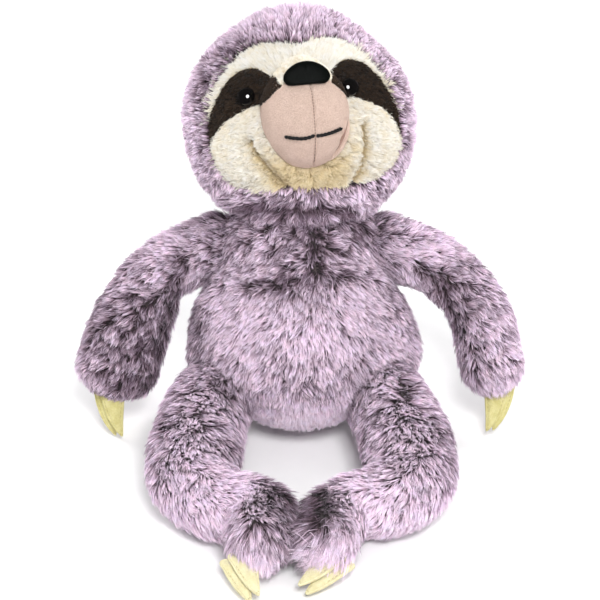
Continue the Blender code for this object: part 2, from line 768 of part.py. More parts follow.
def arm_spine(sign, inset):
    shares, size_shares = ARM_TABLES[sign]
    points = [shoulder(sign) + ARM_REACH * Vector((sign * x, -y, -z)) for x, y, z in shares]
    sizes = [(ARM_BALL_RADIUS * a, ARM_BALL_RADIUS * b) for a, b in size_shares]
    return Spine(points, sizes, inset)


def leg_spine(sign, inset):
    points, sizes = [], []
    for (out, forward, settle), (across, tall) in zip(LEG_TABLES[sign], LEG_SIZE_SHARES):
        side, up = LEG_BALL_RADIUS * across, LEG_BALL_RADIUS * tall
        height = HIP_HEIGHT + (up - REST_CUT - HIP_HEIGHT) * settle
        place = hip(sign) + LEG_REACH * Vector((sign * out, -forward, 0))
        points.append(Vector((place.x, place.y, height)))
        sizes.append((side, up))
    return Spine(points, sizes, inset)


def arm_form(sign, inset, segments, rings, cap_rings, root=0.0):
    caps = (ARM_BALL_RADIUS - inset + root, ARM_BALL_RADIUS * HAND_CAP_SHARE - inset)
    return draw_out(arm_spine(sign, inset), caps, Vector((0, 1, 0)), segments, rings, cap_rings)


def leg_form(sign, inset, segments, rings, cap_rings, root=0.0):
    caps = (LEG_BALL_RADIUS - inset + root, LEG_BALL_RADIUS * FOOT_CAP_SHARE - inset)
    return draw_out(leg_spine(sign, inset), caps, Vector((0, 0, 1)), segments, rings, cap_rings)


def make_limb(limb, side, sign, form, parent, floor=None):
    """A limb's skin, open where it is sewn to the body, and the stuffing that shows there."""
    skin = form(sign, 0, *LIMB_FACETS)
    skin = keep(skin, f"{limb}_skin_{side}", "lilac_plush", parent)
    trim = as_cutter(form(sign, 0, *LIMB_FACETS), f"cut_{limb}_trim_{side}", parent)
    hollow = form(sign, SKIN, *CORE_FACETS, OVERRUN)
    hollow = as_cutter(hollow, f"cut_{limb}_hollow_{side}", parent)
    core = form(sign, SKIN + CORE_CLEAR, *CORE_FACETS, OVERRUN)
    core = keep(core, f"{limb}_stuffing_{side}", "polyester_stuffing", parent)
    boolean(skin, hollow)
    boolean(core, trim, "INTERSECT")
    if floor:
        boolean(skin, floor)


def make_claws(limb, side, sign, form, place, inward, forward, parent):
    """Two felt crescents that grow out of the end of a hand or foot, broad side to the front."""
    skin = as_cutter(form(sign, -CLEAR, *LIMB_FACETS), f"cut_{limb}_claws_{side}", parent)
    for number, offset in (("inner", -1), ("outer", 1)):
        path = [
            Vector((x * CLAW_HALF_WIDTH, z * (CLAW_LENGTH if z > 0 else CLAW_ROOT), 0))
            for x, z in CLAW_SHARES
        ]
        claw = slab(path, CLAW_HALF_THICKNESS, CLAW_EDGE)
        square = inward.cross(forward)
        frame = Matrix((inward, forward, square)).transposed().to_4x4()
        shift = inward * (-offset * CLAW_SPACING / 2) + square * (-sign * offset * CLAW_STAGGER / 2)
        claw.matrix_world = Matrix.Translation(place + shift) @ frame
        keep(claw, f"{limb}_claw_{side}_{number}", "yellow_felt", parent)
        boolean(claw, skin)


def make_arm(side, sign):
    """An arm on its two joints, with the seam ring between them."""
    swing = joint_empty(f"arm_{side}_swing", shoulder(sign))
    raise_joint = joint_empty(f"arm_{side}_raise", shoulder(sign), swing)
    seam = (ARM_BALL_RADIUS, Vector((-sign, 0, 0)), SEAM_POLAR, SEAT_SEGMENTS)
    seam_ring(f"shoulder_seam_{side}", shoulder(sign), *seam, swing)
    make_limb("arm", side, sign, arm_form, raise_joint)
    spine = arm_spine(sign, 0)
    end = spine.at(spine.lengths[-1])[0]
    down = Vector((0, -math.sin(HAND_CLAW_LEAN), -math.cos(HAND_CLAW_LEAN)))
    place = end + down * (ARM_BALL_RADIUS * HAND_CAP_SHARE - CLAW_SINK)
    place.x += sign * HAND_CLAW_ASIDE
    make_claws("hand", side, sign, arm_form, place, Vector((-sign, 0, 0)), down, raise_joint)


def make_leg(side, sign, floor):
    """A leg on its two joints, with the seam ring between them."""
    lift = joint_empty(f"leg_{side}_lift", hip(sign))
    spread = joint_empty(f"leg_{side}_spread", hip(sign), lift)
    seam = (LEG_BALL_RADIUS, -hip_outward(sign), SEAM_POLAR, SEAT_SEGMENTS)
    seam_ring(f"hip_seam_{side}", hip(sign), *seam, lift)
    make_limb("leg", side, sign, leg_form, spread, floor)
    spine = leg_spine(sign, 0)
    end = spine.at(spine.lengths[-1])[0]
    turn = Matrix.Rotation(-sign * FOOT_CLAW_TURNS[sign], 3, "Z")
    ahead = turn @ Vector((0, -math.cos(FOOT_CLAW_DROP), -math.sin(FOOT_CLAW_DROP)))
    inward = turn @ Vector((-sign, 0, 0))
    place = end + ahead * (LEG_BALL_RADIUS * FOOT_CAP_SHARE - CLAW_SINK) - inward * FOOT_CLAW_ASIDE
    place.z -= FOOT_CLAW_LOW
    make_claws("foot", side, sign, leg_form, place, inward, ahead, spread)


def thigh_cutters():
    """Room in the body for each thigh when it is lifted."""
    cutters = []
    for side, sign in SIDES:
        pivot = Matrix.Translation(hip(sign))
        form = leg_form(sign, -THIGH_CLEAR, *CORE_FACETS)
        form.matrix_world = pivot @ Matrix.Rotation(THIGH_LIFT, 4, "X") @ pivot.inverted()
        cutters.append(as_cutter(form, f"cut_thigh_{side}"))
    return cutters


def make_neck():
    """The neck's two joints: the ring turns on the body's ball and the head nods on the ring."""
    turn = joint_empty("head_turn", neck_centre())
    nod = joint_empty("head_nod", neck_centre(), turn)
    seam = (NECK_BALL_RADIUS, neck_axis(), NECK_SEAM_POLAR, NECK_SEGMENTS)
    seam_ring("neck_seam", neck_centre(), *seam, turn)
    seat = ball(neck_centre(), seat_radius(NECK_BALL_RADIUS), neck_axis(), NECK_SEGMENTS, NECK_RINGS)
    return nod, as_cutter(seat, "cut_neck_seat", nod)


def build():
    floor = floor_cutter()
    make_torso(floor, body_seats() + thigh_cutters())
    nod, neck_seat = make_neck()
    make_head(neck_seat, nod)
    make_muzzle(nod)
    for side, sign in SIDES:
        make_arm(side, sign)
        make_leg(side, sign, floor)
    bpy.context.view_layer.update()


ARM_TABLES = {-1: (LEFT_ARM_SHARES, LEFT_ARM_SIZE_SHARES), 1: (RIGHT_ARM_SHARES, RIGHT_ARM_SIZE_SHARES)}
LEG_TABLES = {-1: LEFT_LEG_SHARES, 1: RIGHT_LEG_SHARES}
FOOT_CLAW_TURNS = {-1: LEFT_FOOT_CLAW_TURN, 1: RIGHT_FOOT_CLAW_TURN}

clear_scene()
PARTS = new_collection("plush_sloth")
CUTTERS = new_collection("cutters")
build()
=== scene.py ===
"""The looks of the plush sloth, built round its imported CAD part.

The long plush, the face's short pile and the felt are real geometry. Each stuffed form is drawn out
along the same spine as in the CAD part, a little under the CAD surface, and flat tapering strands
grow from it. The strands lean along a comb field and gather into pointed tufts. Lengths in this
file are millimetres until a mesh is made. Left and right are the viewer's, seen from the front.
"""

import math
from itertools import product

import bpy
import numpy as np
from mathutils import Matrix


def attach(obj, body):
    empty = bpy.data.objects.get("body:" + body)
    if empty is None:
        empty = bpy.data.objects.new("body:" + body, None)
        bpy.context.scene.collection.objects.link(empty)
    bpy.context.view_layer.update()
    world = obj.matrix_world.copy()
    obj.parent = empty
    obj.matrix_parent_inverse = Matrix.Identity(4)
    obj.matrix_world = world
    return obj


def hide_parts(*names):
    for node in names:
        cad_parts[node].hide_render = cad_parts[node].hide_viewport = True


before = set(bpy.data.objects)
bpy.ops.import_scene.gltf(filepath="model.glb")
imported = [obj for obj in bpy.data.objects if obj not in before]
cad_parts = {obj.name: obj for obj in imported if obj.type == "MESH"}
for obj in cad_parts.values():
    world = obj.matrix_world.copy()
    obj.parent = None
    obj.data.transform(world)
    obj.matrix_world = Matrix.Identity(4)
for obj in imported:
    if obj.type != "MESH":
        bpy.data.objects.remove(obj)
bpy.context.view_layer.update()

MM = 0.001
TURN = 2 * math.pi
SIDES = (("left", -1), ("right", 1))
THIN = 1.0

# The CAD part's forms, repeated from its source in millimetres
BACKING = 6.0  # how far the cloth lies under the CAD surface, which stands for the pile's ends
LEAN = math.radians(20)
BELLY = (80.0, 67.0)
SEAT_HEIGHT, CHEST_RISE, NECK_BALL = 52.0, 66.0, 59.0
CHEST_SHARES = ((0.0, 0.0), (0.25, 0.12), (0.5, 0.34), (0.75, 0.68), (1.0, 1.0))
BELLY_CENTRE = np.array((0.0, -10.63, 52.77))
HEAD_CENTRE = np.array((0.0, 31.28, 205.76))
HEAD_HALVES = (79.5, 64.0)
CROWN, CHIN, HEAD_MIDDLE = 78.0, 77.0, 2.0
YAW, PITCH, ROLL = math.radians(4), math.radians(28), math.radians(3.5)
FACE_SINK = 2.0
FACE_SIZE = (66.0, 58.0, 45.0)
FACE_SHARES = (
    (0.0, 0.86), (0.20, 0.97), (0.48, 0.98), (0.74, 0.78), (0.93, 0.40), (1.0, -0.05),
    (0.97, -0.50), (0.82, -0.84), (0.52, -0.97), (0.22, -0.98), (0.0, -1.0),
)
EYE = {-1: (-36.6, 19.0), 1: (31.0, 19.0)}
PATCH_PLACE, PATCH_LENGTH = (35.5, 21.0), 58.0
PATCH_SHARES = (
    (-0.34, 0.12), (-0.15, 0.29), (0.08, 0.275), (0.27, 0.10), (0.41, -0.16), (0.50, -0.50),
    (0.46, -0.70), (0.36, -0.45), (0.20, -0.28), (-0.02, -0.18), (-0.24, -0.10),
)
MUZZLE = (28.8, 36.0, 36.0)
MUZZLE_DEPTH_SHARE, MUZZLE_RISE = 0.88, 5.0
MUZZLE_PLACE = (0.0, -MUZZLE_DEPTH_SHARE * HEAD_HALVES[1], MUZZLE_RISE)
MUZZLE_YAW = math.radians(3.7)
EGG_TAPER = 0.36
NOSE = (14.5, 7.0, 10.5)
NOSE_HEIGHT, NOSE_FLAT = 21.0, 0.45
MOUTH_HALF_WIDTH, MOUTH_DROP = 19.0, 15.0
SHOULDER = (57.0, 15.0, 121.0)
ARM_REACH, ARM_BALL, HAND_CAP = 106.0, 25.0, 0.95
ARM_SHARES = {
    -1: ((0.0, 0.0, 0.0), (0.35, 0.06, 0.14), (0.53, 0.19, 0.39), (0.65, 0.37, 0.695)),
    1: ((0.0, 0.0, 0.0), (0.35, 0.06, 0.11), (0.61, 0.19, 0.345), (0.705, 0.37, 0.655)),
}
ARM_SIZES = {
    -1: ((1.0, 1.0), (0.94, 0.89), (1.13, 0.99), (1.21, 1.04)),
    1: ((1.0, 1.0), (0.89, 0.91), (0.91, 0.99), (0.93, 1.08)),
}
HIP = (49.0, -34.0, 42.0)
LEG_REACH, LEG_BALL, FOOT_CAP, REST_CUT = 166.0, 31.0, 0.6, 0.5
LEG_SHARES = {
    -1: ((0.0, 0.0, 0.0), (0.09, 0.217, 0.45), (0.125, 0.428, 1.0), (0.117, 0.60, 1.0),
         (0.025, 0.72, 1.0), (-0.10, 0.755, 1.0), (-0.135, 0.92, 1.0)),
    1: ((0.0, 0.0, 0.0), (0.09, 0.217, 0.45), (0.137, 0.42, 1.0), (0.135, 0.585, 1.0),
        (0.04, 0.705, 1.0), (-0.09, 0.745, 1.0), (-0.18, 0.89, 1.0)),
}
LEG_SIZES = (
    (1.0, 1.0), (0.98, 0.97), (1.04, 1.02), (0.96, 0.93), (0.84, 0.83), (0.73, 0.76), (0.68, 0.70),
)
CLAW = (8.0, 27.0, 8.0)
CLAW_SINK, CLAW_SPACING = 3.0, 5.0
CLAW_STAGGER = 4.8  # less than in the CAD part, because the felt is puffed
CLAW_BEND = 3.0  # how far a hand's claw curves aside at its tip
HAND_ASIDE, FOOT_ASIDE, FOOT_LOW = 6.0, 15.0, 4.0
HAND_LEAN, FOOT_DROP = math.radians(25), math.radians(13)
FOOT_TURN = {-1: math.radians(14), 1: math.radians(40)}
CLAW_SHARES = (
    (-1.0, -1.0), (-1.0, 0.0), (-0.72, 0.38), (-0.30, 0.72), (0.30, 1.0), (0.52, 0.97),
    (0.72, 0.66), (0.92, 0.30), (1.0, 0.0), (1.0, -1.0),
)

# Camera, also used to place the creases that the photograph shows
PHOTO_SIDE = 600
VIEW_ELEVATION = math.radians(30)
VIEW_DISTANCE, VIEW_SPAN = 1400.0, 402.0
VIEW_TARGET = np.array((0.0, -40.0, 110.0))
BACK_WAY = np.array((0.0, -math.cos(VIEW_ELEVATION), math.sin(VIEW_ELEVATION)))
UP_WAY = np.array((0.0, math.sin(VIEW_ELEVATION), math.cos(VIEW_ELEVATION)))


# Numbers


def unit(v):
    return v / np.maximum(np.linalg.norm(v, axis=-1, keepdims=True), 1e-9)


def step(low, high, x):
    t = np.clip((x - low) / (high - low), 0, 1)
    return t * t * (3 - 2 * t)


def bump(x, wide):
    return np.exp(-((x / wide) ** 2))


def spans(corners, samples):
    """Smooth stretches between the second and third of each four corners."""
    t = np.arange(samples)[:, None] / samples
    return [
        (2 * b + (c - a) * t + (2 * a - 5 * b + 4 * c - d) * t ** 2 + (3 * b - a - 3 * c + d) * t ** 3) / 2
        for a, b, c, d in corners
    ]


def smooth_path(points, samples=24):
    p = np.array(points, float)
    p = np.vstack([2 * p[0] - p[1], p, 2 * p[-1] - p[-2]])
    return np.vstack(spans(zip(p, p[1:], p[2:], p[3:]), samples) + [p[-2:-1]])


def closed_path(points, samples=12):
    p = np.array(points, float)
    return np.vstack(spans(zip(*(np.roll(p, shift, 0) for shift in (1, 0, -1, -2))), samples))


def lumps(points, size, seed):
    """Smooth noise from -1 to 1 with bumps of about that size."""
    pick = np.random.default_rng(seed)
    total = np.zeros(points.shape[:-1])
    for _ in range(7):
        wave = unit(pick.normal(size=3)) * (TURN / (size * pick.uniform(1.4, 2.6)))
        total += np.sin(points @ wave + pick.uniform(0, TURN))
    return total / 3.2


def mixed(keys):
    """Well mixed 64-bit numbers from whole ones."""
    x = keys.astype(np.uint64)
    for shift, factor in ((30, 0xBF58476D1CE4E5B9), (27, 0x94D049BB133111EB)):
        x = (x ^ (x >> np.uint64(shift))) * np.uint64(factor)
    return x ^ (x >> np.uint64(31))


def tufts(points, cell, seed):
    """The tuft that each point belongs to, and how far it is from the tuft's border, in cells."""
    base = np.floor(points / cell).astype(np.int64)
    best = np.full(len(points), np.inf)
    second = best.copy()
    owner = np.zeros(len(points), np.uint64)
    for offset in product((-1, 0, 1), repeat=3):
        c = base + offset
        key = mixed(c[:, 0] * 73856093 + c[:, 1] * 19349663 + c[:, 2] * 83492791 + seed * 7919)
        place = np.stack([
            c[:, k] + (mixed(key + np.uint64(k + 1)) >> np.uint64(40)).astype(float) / 2 ** 24
            for k in range(3)
        ], 1) * cell
        d = np.linalg.norm(points - place, axis=1)
        nearer = d < best
        second = np.where(nearer, best, np.minimum(second, d))
        owner = np.where(nearer, key, owner)
        best = np.where(nearer, d, best)
    ids = np.unique(owner, return_inverse=True)[1].reshape(-1)
    return ids, (second - best) / cell


def mean_by(ids, values):
    count = np.maximum(np.bincount(ids), 1)
    return np.stack([np.bincount(ids, values[:, k]) / count for k in range(values.shape[1])], 1)


def pixels(points):
    """Where points fall in the photograph's frame."""
    p = points - (VIEW_TARGET + BACK_WAY * VIEW_DISTANCE)
    scale = PHOTO_SIDE * VIEW_DISTANCE / VIEW_SPAN / -(p @ BACK_WAY)
    middle = PHOTO_SIDE / 2
    return np.stack([middle + p[:, 0] * scale, middle - (p @ UP_WAY) * scale], 1)


def segment_gap(points, line):
    """Distance of flat points from a polyline, and the vector that leads away from it."""
    best = np.full(len(points), np.inf)
    away = np.zeros_like(points)
    for a, b in zip(np.array(line[:-1], float), np.array(line[1:], float)):
        t = np.clip(((points - a) @ (b - a)) / ((b - a) @ (b - a)), 0, 1)
        off = points - (a + t[:, None] * (b - a))
        d = np.linalg.norm(off, axis=1)
        nearer = d < best
        best = np.where(nearer, d, best)
        away = np.where(nearer[:, None], off, away)
    return best, unit(away)


def inside(points, outline):
    """Whether flat points lie inside a closed outline."""
    within = np.zeros(len(points), bool)
    for a, b in zip(outline, np.roll(outline, -1, 0)):
        spans = (a[1] > points[:, 1]) != (b[1] > points[:, 1])
        cross = a[0] + (points[:, 1] - a[1]) / (b[1] - a[1] + 1e-12) * (b[0] - a[0])
        within ^= spans & (points[:, 0] < cross)
    return within


def rotation(axis, angle):
    c, s = math.cos(angle), math.sin(angle)
    return np.array({
        "X": ((1, 0, 0), (0, c, -s), (0, s, c)),
        "Y": ((c, 0, s), (0, 1, 0), (-s, 0, c)),
        "Z": ((c, -s, 0), (s, c, 0), (0, 0, 1)),
    }[axis])


# Forms


class Form:
    """A sphere drawn out along a spine, as the CAD part has it."""

    def __init__(self, points, sizes, caps, reference=(0, 1, 0), turn=None, origin=(0, 0, 0)):
        self.places, self.halves = smooth_path(points), smooth_path(sizes)
        steps = np.diff(self.places, axis=0)
        self.lengths = np.concatenate([[0], np.cumsum(np.linalg.norm(steps, axis=1))])
        ways = unit(steps)
        self.tangents = unit(np.vstack([ways[:1], ways[:-1] + ways[1:], ways[-1:]]))
        self.caps, self.reference = caps, np.array(reference, float)
        self.turn = np.eye(3) if turn is None else turn
        self.origin = np.array(origin, float)

    def at(self, length):
        inner = np.clip(length, 0, self.lengths[-1])
        place, tangent, halves = (
            np.stack([np.interp(inner, self.lengths, table[:, k]) for k in range(table.shape[1])], -1)
            for table in (self.places, self.tangents, self.halves)
        )
        tangent = unit(tangent)
        return place + tangent * (length - inner)[..., None], tangent, halves

    def sides(self, tangent):
        side = unit(np.cross(tangent, self.reference))
        return side, np.cross(side, tangent)

    def grid(self, along, around, inset=0.0):
        """Points of the surface, in rows along the spine and columns round it."""
        start, end = (cap - inset for cap in self.caps)
        arcs = np.array((start * math.pi / 2, self.lengths[-1], end * math.pi / 2))
        ends = np.cumsum(arcs)
        s = np.linspace(0.004, 0.996, along) * ends[-1]
        first = np.clip(s / arcs[0], 0, 1) * math.pi / 2
        last = np.clip((s - ends[1]) / arcs[2], 0, 1) * math.pi / 2
        length = np.where(s < ends[0], -start * np.cos(first), np.minimum(s - ends[0], arcs[1]))
        length = length + end * np.sin(last)
        share = np.sin(first) * np.cos(last)
        place, tangent, halves = self.at(length)
        side, other = self.sides(tangent)
        a = np.arange(around) / around * TURN
        spread = (halves - inset) * share[:, None]
        points = (place[:, None] + side[:, None] * (spread[:, :1] * np.cos(a))[..., None]
                  + other[:, None] * (spread[:, 1:] * np.sin(a))[..., None])
        return points @ self.turn.T + self.origin

    def reach(self, points, inset=0.0):
        """How far out points lie: 1 is on the surface, less is inside."""
        local = (points - self.origin) @ self.turn
        places, tangents, halves = self.places[::4], self.tangents[::4], self.halves[::4]
        side, other = self.sides(tangents)
        found = np.empty(len(local))
        for start in range(0, len(local), 40000):
            part = local[start:start + 40000]
            near = ((part[:, None] - places[None]) ** 2).sum(2).argmin(1)
            off = part - places[near]
            along = (off * tangents[near]).sum(1)
            cap = np.where(near == 0, self.caps[0], self.caps[1]) - inset
            end = (near == 0) & (along < 0) | (near == len(places) - 1) & (along > 0)
            found[start:start + 40000] = np.sqrt(
                ((off * side[near]).sum(1) / (halves[near, 0] - inset)) ** 2
                + ((off * other[near]).sum(1) / (halves[near, 1] - inset)) ** 2
                + np.where(end, along / cap, 0) ** 2
            )
        return found


def torso_form():
    axis = np.array((0.0, math.sin(LEAN), math.cos(LEAN)))
    points = [BELLY_CENTRE + axis * CHEST_RISE * rise for rise, _ in CHEST_SHARES]
    sizes = [[half + (NECK_BALL - half) * narrow for half in BELLY] for _, narrow in CHEST_SHARES]
    return Form(points, sizes, (SEAT_HEIGHT, NECK_BALL))


HEAD_TURN = rotation("Z", YAW) @ rotation("X", -PITCH) @ rotation("Y", -ROLL)


def head_form():
    return Form([(0, 0, 0), (0, 0, HEAD_MIDDLE)], [HEAD_HALVES] * 2, (CHIN, CROWN),
                turn=HEAD_TURN, origin=HEAD_CENTRE)


def arm_form(sign):
    start = np.array(SHOULDER) * (sign, 1, 1)
    points = [start + ARM_REACH * np.array((sign * x, -y, -z)) for x, y, z in ARM_SHARES[sign]]
    sizes = np.array(ARM_SIZES[sign]) * ARM_BALL
    return Form(points, sizes, (ARM_BALL, ARM_BALL * HAND_CAP))


def leg_form(sign):
    points, sizes = [], []
    for (out, forward, settle), (across, tall) in zip(LEG_SHARES[sign], LEG_SIZES):
        up = LEG_BALL * tall
        height = HIP[2] + (up - REST_CUT - HIP[2]) * settle
        points.append((sign * (HIP[0] + LEG_REACH * out), HIP[1] - LEG_REACH * forward, height))
        sizes.append((LEG_BALL * across, up))
    return Form(points, sizes, (LEG_BALL, LEG_BALL * FOOT_CAP), reference=(0, 0, 1))


FORMS = {"torso": torso_form(), "head": head_form()}
for side_name, side_sign in SIDES:
    FORMS[f"arm_{side_name}"] = arm_form(side_sign)
    FORMS[f"leg_{side_name}"] = leg_form(side_sign)


# Meshes


def new_object(name, points, loops, sizes, finish, uv=None):
    """A smooth mesh object from flat arrays: points in mm, the corners, and each face's corner count."""
    mesh = bpy.data.meshes.new(name)
    mesh.vertices.add(len(points))
    mesh.vertices.foreach_set("co", (np.asarray(points, float) * MM).astype(np.float32).ravel())
    mesh.loops.add(len(loops))
    mesh.loops.foreach_set("vertex_index", loops.astype(np.int32))
    mesh.polygons.add(len(sizes))
    mesh.polygons.foreach_set("loop_start", (np.cumsum(sizes) - sizes).astype(np.int32))
    if uv is not None:
        mesh.uv_layers.new(name="OFBake").uv.foreach_set("vector", uv.astype(np.float32).ravel())
    mesh.update(calc_edges=True)
    mesh.validate()
    mesh.shade_smooth()
    mesh.materials.append(finish)
    made = bpy.data.objects.new(name, mesh)
    bpy.context.scene.collection.objects.link(made)
    return made


def keep(thing, body, slot, *nodes, fill=None):
    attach(thing, body)
    if nodes:
        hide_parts(*nodes)
    return thing


def grid_faces(rows, columns, closed=True):
    """Corners of the quads of a grid whose columns run round."""
    wide = columns if closed else columns - 1
    i, j = np.meshgrid(np.arange(rows - 1), np.arange(wide), indexing="ij")
    k = (j + 1) % columns
    return np.stack([i * columns + j, i * columns + k, (i + 1) * columns + k, (i + 1) * columns + j], -1)


def skin_object(name, grid, finish, ends=(True, True), wanted_quads=None):
    """An object from a grid of points, with a fan over each end."""
    rows, columns = grid.shape[:2]
    points = grid.reshape(-1, 3)
    quads = grid_faces(rows, columns).reshape(-1, 4)
    if wanted_quads is not None:
        quads = quads[wanted_quads]
    loops, sizes = [quads.ravel()], [np.full(len(quads), 4)]
    ring = np.arange(columns)
    for row, wanted, flip in ((0, ends[0], True), (rows - 1, ends[1], False)):
        if wanted:
            points = np.vstack([points, grid[row].mean(0)])
            a, b = row * columns + ring, row * columns + (ring + 1) % columns
            corner = np.full(columns, len(points) - 1)
            fan = np.stack([b, a, corner] if flip else [a, b, corner], 1)
            loops.append(fan.ravel())
            sizes.append(np.full(columns, 3))
    return new_object(name, points, np.concatenate(loops), np.concatenate(sizes), finish)


def grid_normals(grid):
    """Outward normals and the direction along the rows of a closed grid."""
    along = np.gradient(grid, axis=0)
    around = np.roll(grid, -1, 1) - np.roll(grid, 1, 1)
    normal = unit(np.cross(around, along))
    out = grid - grid.mean(1, keepdims=True)
    if (normal * out).sum() < 0:
        normal = -normal
    return normal, unit(along)


def scatter(grid, density, seed):
    """Root points spread evenly over a closed grid, with normals and the direction along it."""
    pick = np.random.default_rng(seed)
    normal, along = grid_normals(grid)
    quads = grid_faces(*grid.shape[:2]).reshape(-1, 4)
    flat = grid.reshape(-1, 3)
    a, b, c, d = (flat[quads[:, k]] for k in range(4))
    area = np.linalg.norm(np.cross(c - a, d - b), axis=1) / 2
    total = np.cumsum(area)
    count = int(total[-1] * density * THIN)
    at = (np.arange(count) + pick.random(count)) / count * total[-1]
    face = np.minimum(np.searchsorted(total, at), len(quads) - 1)
    u, v = pick.random((2, count, 1))
    corners = quads[face]
    weights = ((1 - u) * (1 - v), u * (1 - v), u * v, (1 - u) * v)

    def blend(table):
        table = table.reshape(-1, 3)
        return sum(table[corners[:, k]] * weights[k] for k in range(4))

    return blend(grid), unit(blend(normal)), unit(blend(along))


def flat_to(normal, way):
    """The part of a direction that lies along the surface."""
    return unit(way - normal * (way * normal).sum(1, keepdims=True))


# A strand: the shares of its length and width at its rings, and its corners in the order of its faces
LEVELS = np.array((0.0, 0.40, 0.75, 1.0))
WIDTHS = np.array((0.85, 1.0, 0.72))
RING_CORNERS = len(WIDTHS) * 2
STRAND_CORNERS = RING_CORNERS + 1
STRAND_ORDER = np.array((0, 1, 3, 2, 2, 3, 5, 4, 4, 5, 6))
STRAND_SIZES = (4, 4, 3)
MAP_ACROSS = np.array((-1, 1, -1, 1, -1, 1, 0)) * 0.002
MAP_UP = np.array((0.0, 0.0, LEVELS[1], LEVELS[1], LEVELS[2], LEVELS[2], 1.0))
STRANDS_A_PIECE = 38000


class Look:
    """How one kind of pile grows: width and tuft sizes in mm, the rest shares."""

    def __init__(self, finish, slot, density, width, small, large, pull, swirl, stray, fleck, dusk):
        self.finish, self.slot, self.density, self.width = finish, slot, density, width
        self.small, self.large, self.pull, self.swirl = small, large, pull, swirl
        self.stray, self.fleck, self.dusk = stray, fleck, dusk


def pile(name, body, look, root, normal, comb, rise, lay, shade, seed, replaced=(),
         opening=0.5, paling=0.0, floor=0.2):
    """Strands of pile as flat tapering ribbons, gathered into pointed tufts."""
    pick = np.random.default_rng(seed)
    n = len(root)
    opening, paling = np.broadcast_to(opening, n), np.broadcast_to(paling, n)
    fine, fine_edge = tufts(root + lumps(root, 9, seed)[:, None], look.small, seed)
    broad, broad_edge = tufts(root, look.large, seed + 1)
    tuft_count, patch_count = fine.max() + 1, broad.max() + 1
    swirl = look.swirl * (0.5 + opening)
    angle = (swirl * (pick.normal(0, 0.8, patch_count)[broad] + pick.normal(0, 0.8, tuft_count)[fine])
             + pick.normal(0, 0.14, n))
    stray = pick.random(n) < look.stray
    angle = (angle + np.where(stray, pick.normal(0, 0.7, n), 0))[:, None]
    comb = comb * np.cos(angle) + np.cross(normal, comb) * np.sin(angle)
    grown = pick.uniform(0.74, 1.12, tuft_count)[fine] * pick.uniform(0.74, 1.12, n)
    # Painted shade: strands along the clefts between broad tufts and at the borders of fine tufts are made darker, as
    # the gaps between tufts lie in shade.
    cleft = 1 - (1 - step(0.0, 0.24, broad_edge)) * opening * pick.uniform(0.3, 1.0, patch_count)[broad]
    rise = rise * grown * (0.62 + 0.38 * cleft)
    lay = lay * grown * pick.uniform(0.65, 1.3, tuft_count)[fine]
    fleck = (1 - step(0.0, 0.3, fine_edge)) * pick.random(tuft_count)[fine] ** 1.5
    dusk = pick.random(tuft_count)[fine] < look.dusk * (0.3 + opening)
    shade = (shade + pick.normal(0, 0.09, tuft_count)[fine] + pick.normal(0, 0.07, patch_count)[broad]
             + pick.normal(0, 0.12, n) - 0.75 * (1 - cleft) - look.fleck * fleck * (0.4 + opening)
             - pick.uniform(0.3, 0.7, tuft_count)[fine] * dusk)
    curl = np.cross(normal, comb) * (
        (pick.normal(0, 0.5, tuft_count)[fine] + pick.normal(0, 0.3, n)) * (0.6 + opening))[:, None]
    pull = look.pull * np.where(stray, 0.15, 1.0) * pick.uniform(0.5, 1.25, tuft_count)[fine]
    line = np.empty((n, len(LEVELS), 3))
    for k, t in enumerate(LEVELS):
        place = (root + normal * (rise * (1.45 * t - 0.45 * t * t) - 0.4)[:, None]
                 + comb * (lay * t ** 1.7)[:, None] + curl * math.sin(3.4 * t))
        place = place + (mean_by(fine, place)[fine] - place) * (pull * t ** 0.8)[:, None]
        place = place + (mean_by(broad, place)[broad] - place) * ((0.10 + 0.28 * opening) * t * t)[:, None]
        line[:, k] = place
    line[:, :, 2] = np.maximum(line[:, :, 2], floor)
    way = unit(np.gradient(line, axis=1))
    side = unit(np.cross(way, normal[:, None]) + 1e-6)
    face = np.cross(side, way)
    roll = pick.normal(0, 0.5, n)[:, None, None]
    side = side * np.cos(roll) + face * np.sin(roll)
    half = (look.width / 2 * pick.uniform(0.7, 1.3, n))[:, None, None] * WIDTHS[None, :, None]
    corners = np.empty((n, STRAND_CORNERS, 3))
    corners[:, 0:RING_CORNERS:2] = line[:, :-1] - side[:, :-1] * half
    corners[:, 1:RING_CORNERS:2] = line[:, :-1] + side[:, :-1] * half
    corners[:, -1] = line[:, -1]
    corners[:, :, 2] = np.maximum(corners[:, :, 2], floor / 2)
    shade = np.clip(shade, 0.01, 0.99)
    pieces = max(math.ceil(n / STRANDS_A_PIECE), 1)
    for part in range(pieces):
        a, b = n * part // pieces, n * (part + 1) // pieces
        count = b - a
        uv = np.empty((count, STRAND_CORNERS, 2))
        uv[:, :, 0] = shade[a:b, None] + MAP_ACROSS
        uv[:, :, 1] = 0.02 + 0.96 * (paling[a:b, None] + (1 - paling[a:b, None]) * MAP_UP)
        loops = (np.arange(count)[:, None] * STRAND_CORNERS + STRAND_ORDER).ravel()
        made = new_object(f"{name}_{part + 1}" if pieces > 1 else name, corners[a:b].reshape(-1, 3), loops,
                          np.tile(STRAND_SIZES, count), look.finish, uv[:, STRAND_ORDER].reshape(-1, 2))
        keep(made, body, look.slot, *replaced)


# Materials


def colour(value):
    return (*value, 1) if len(value) == 3 else value


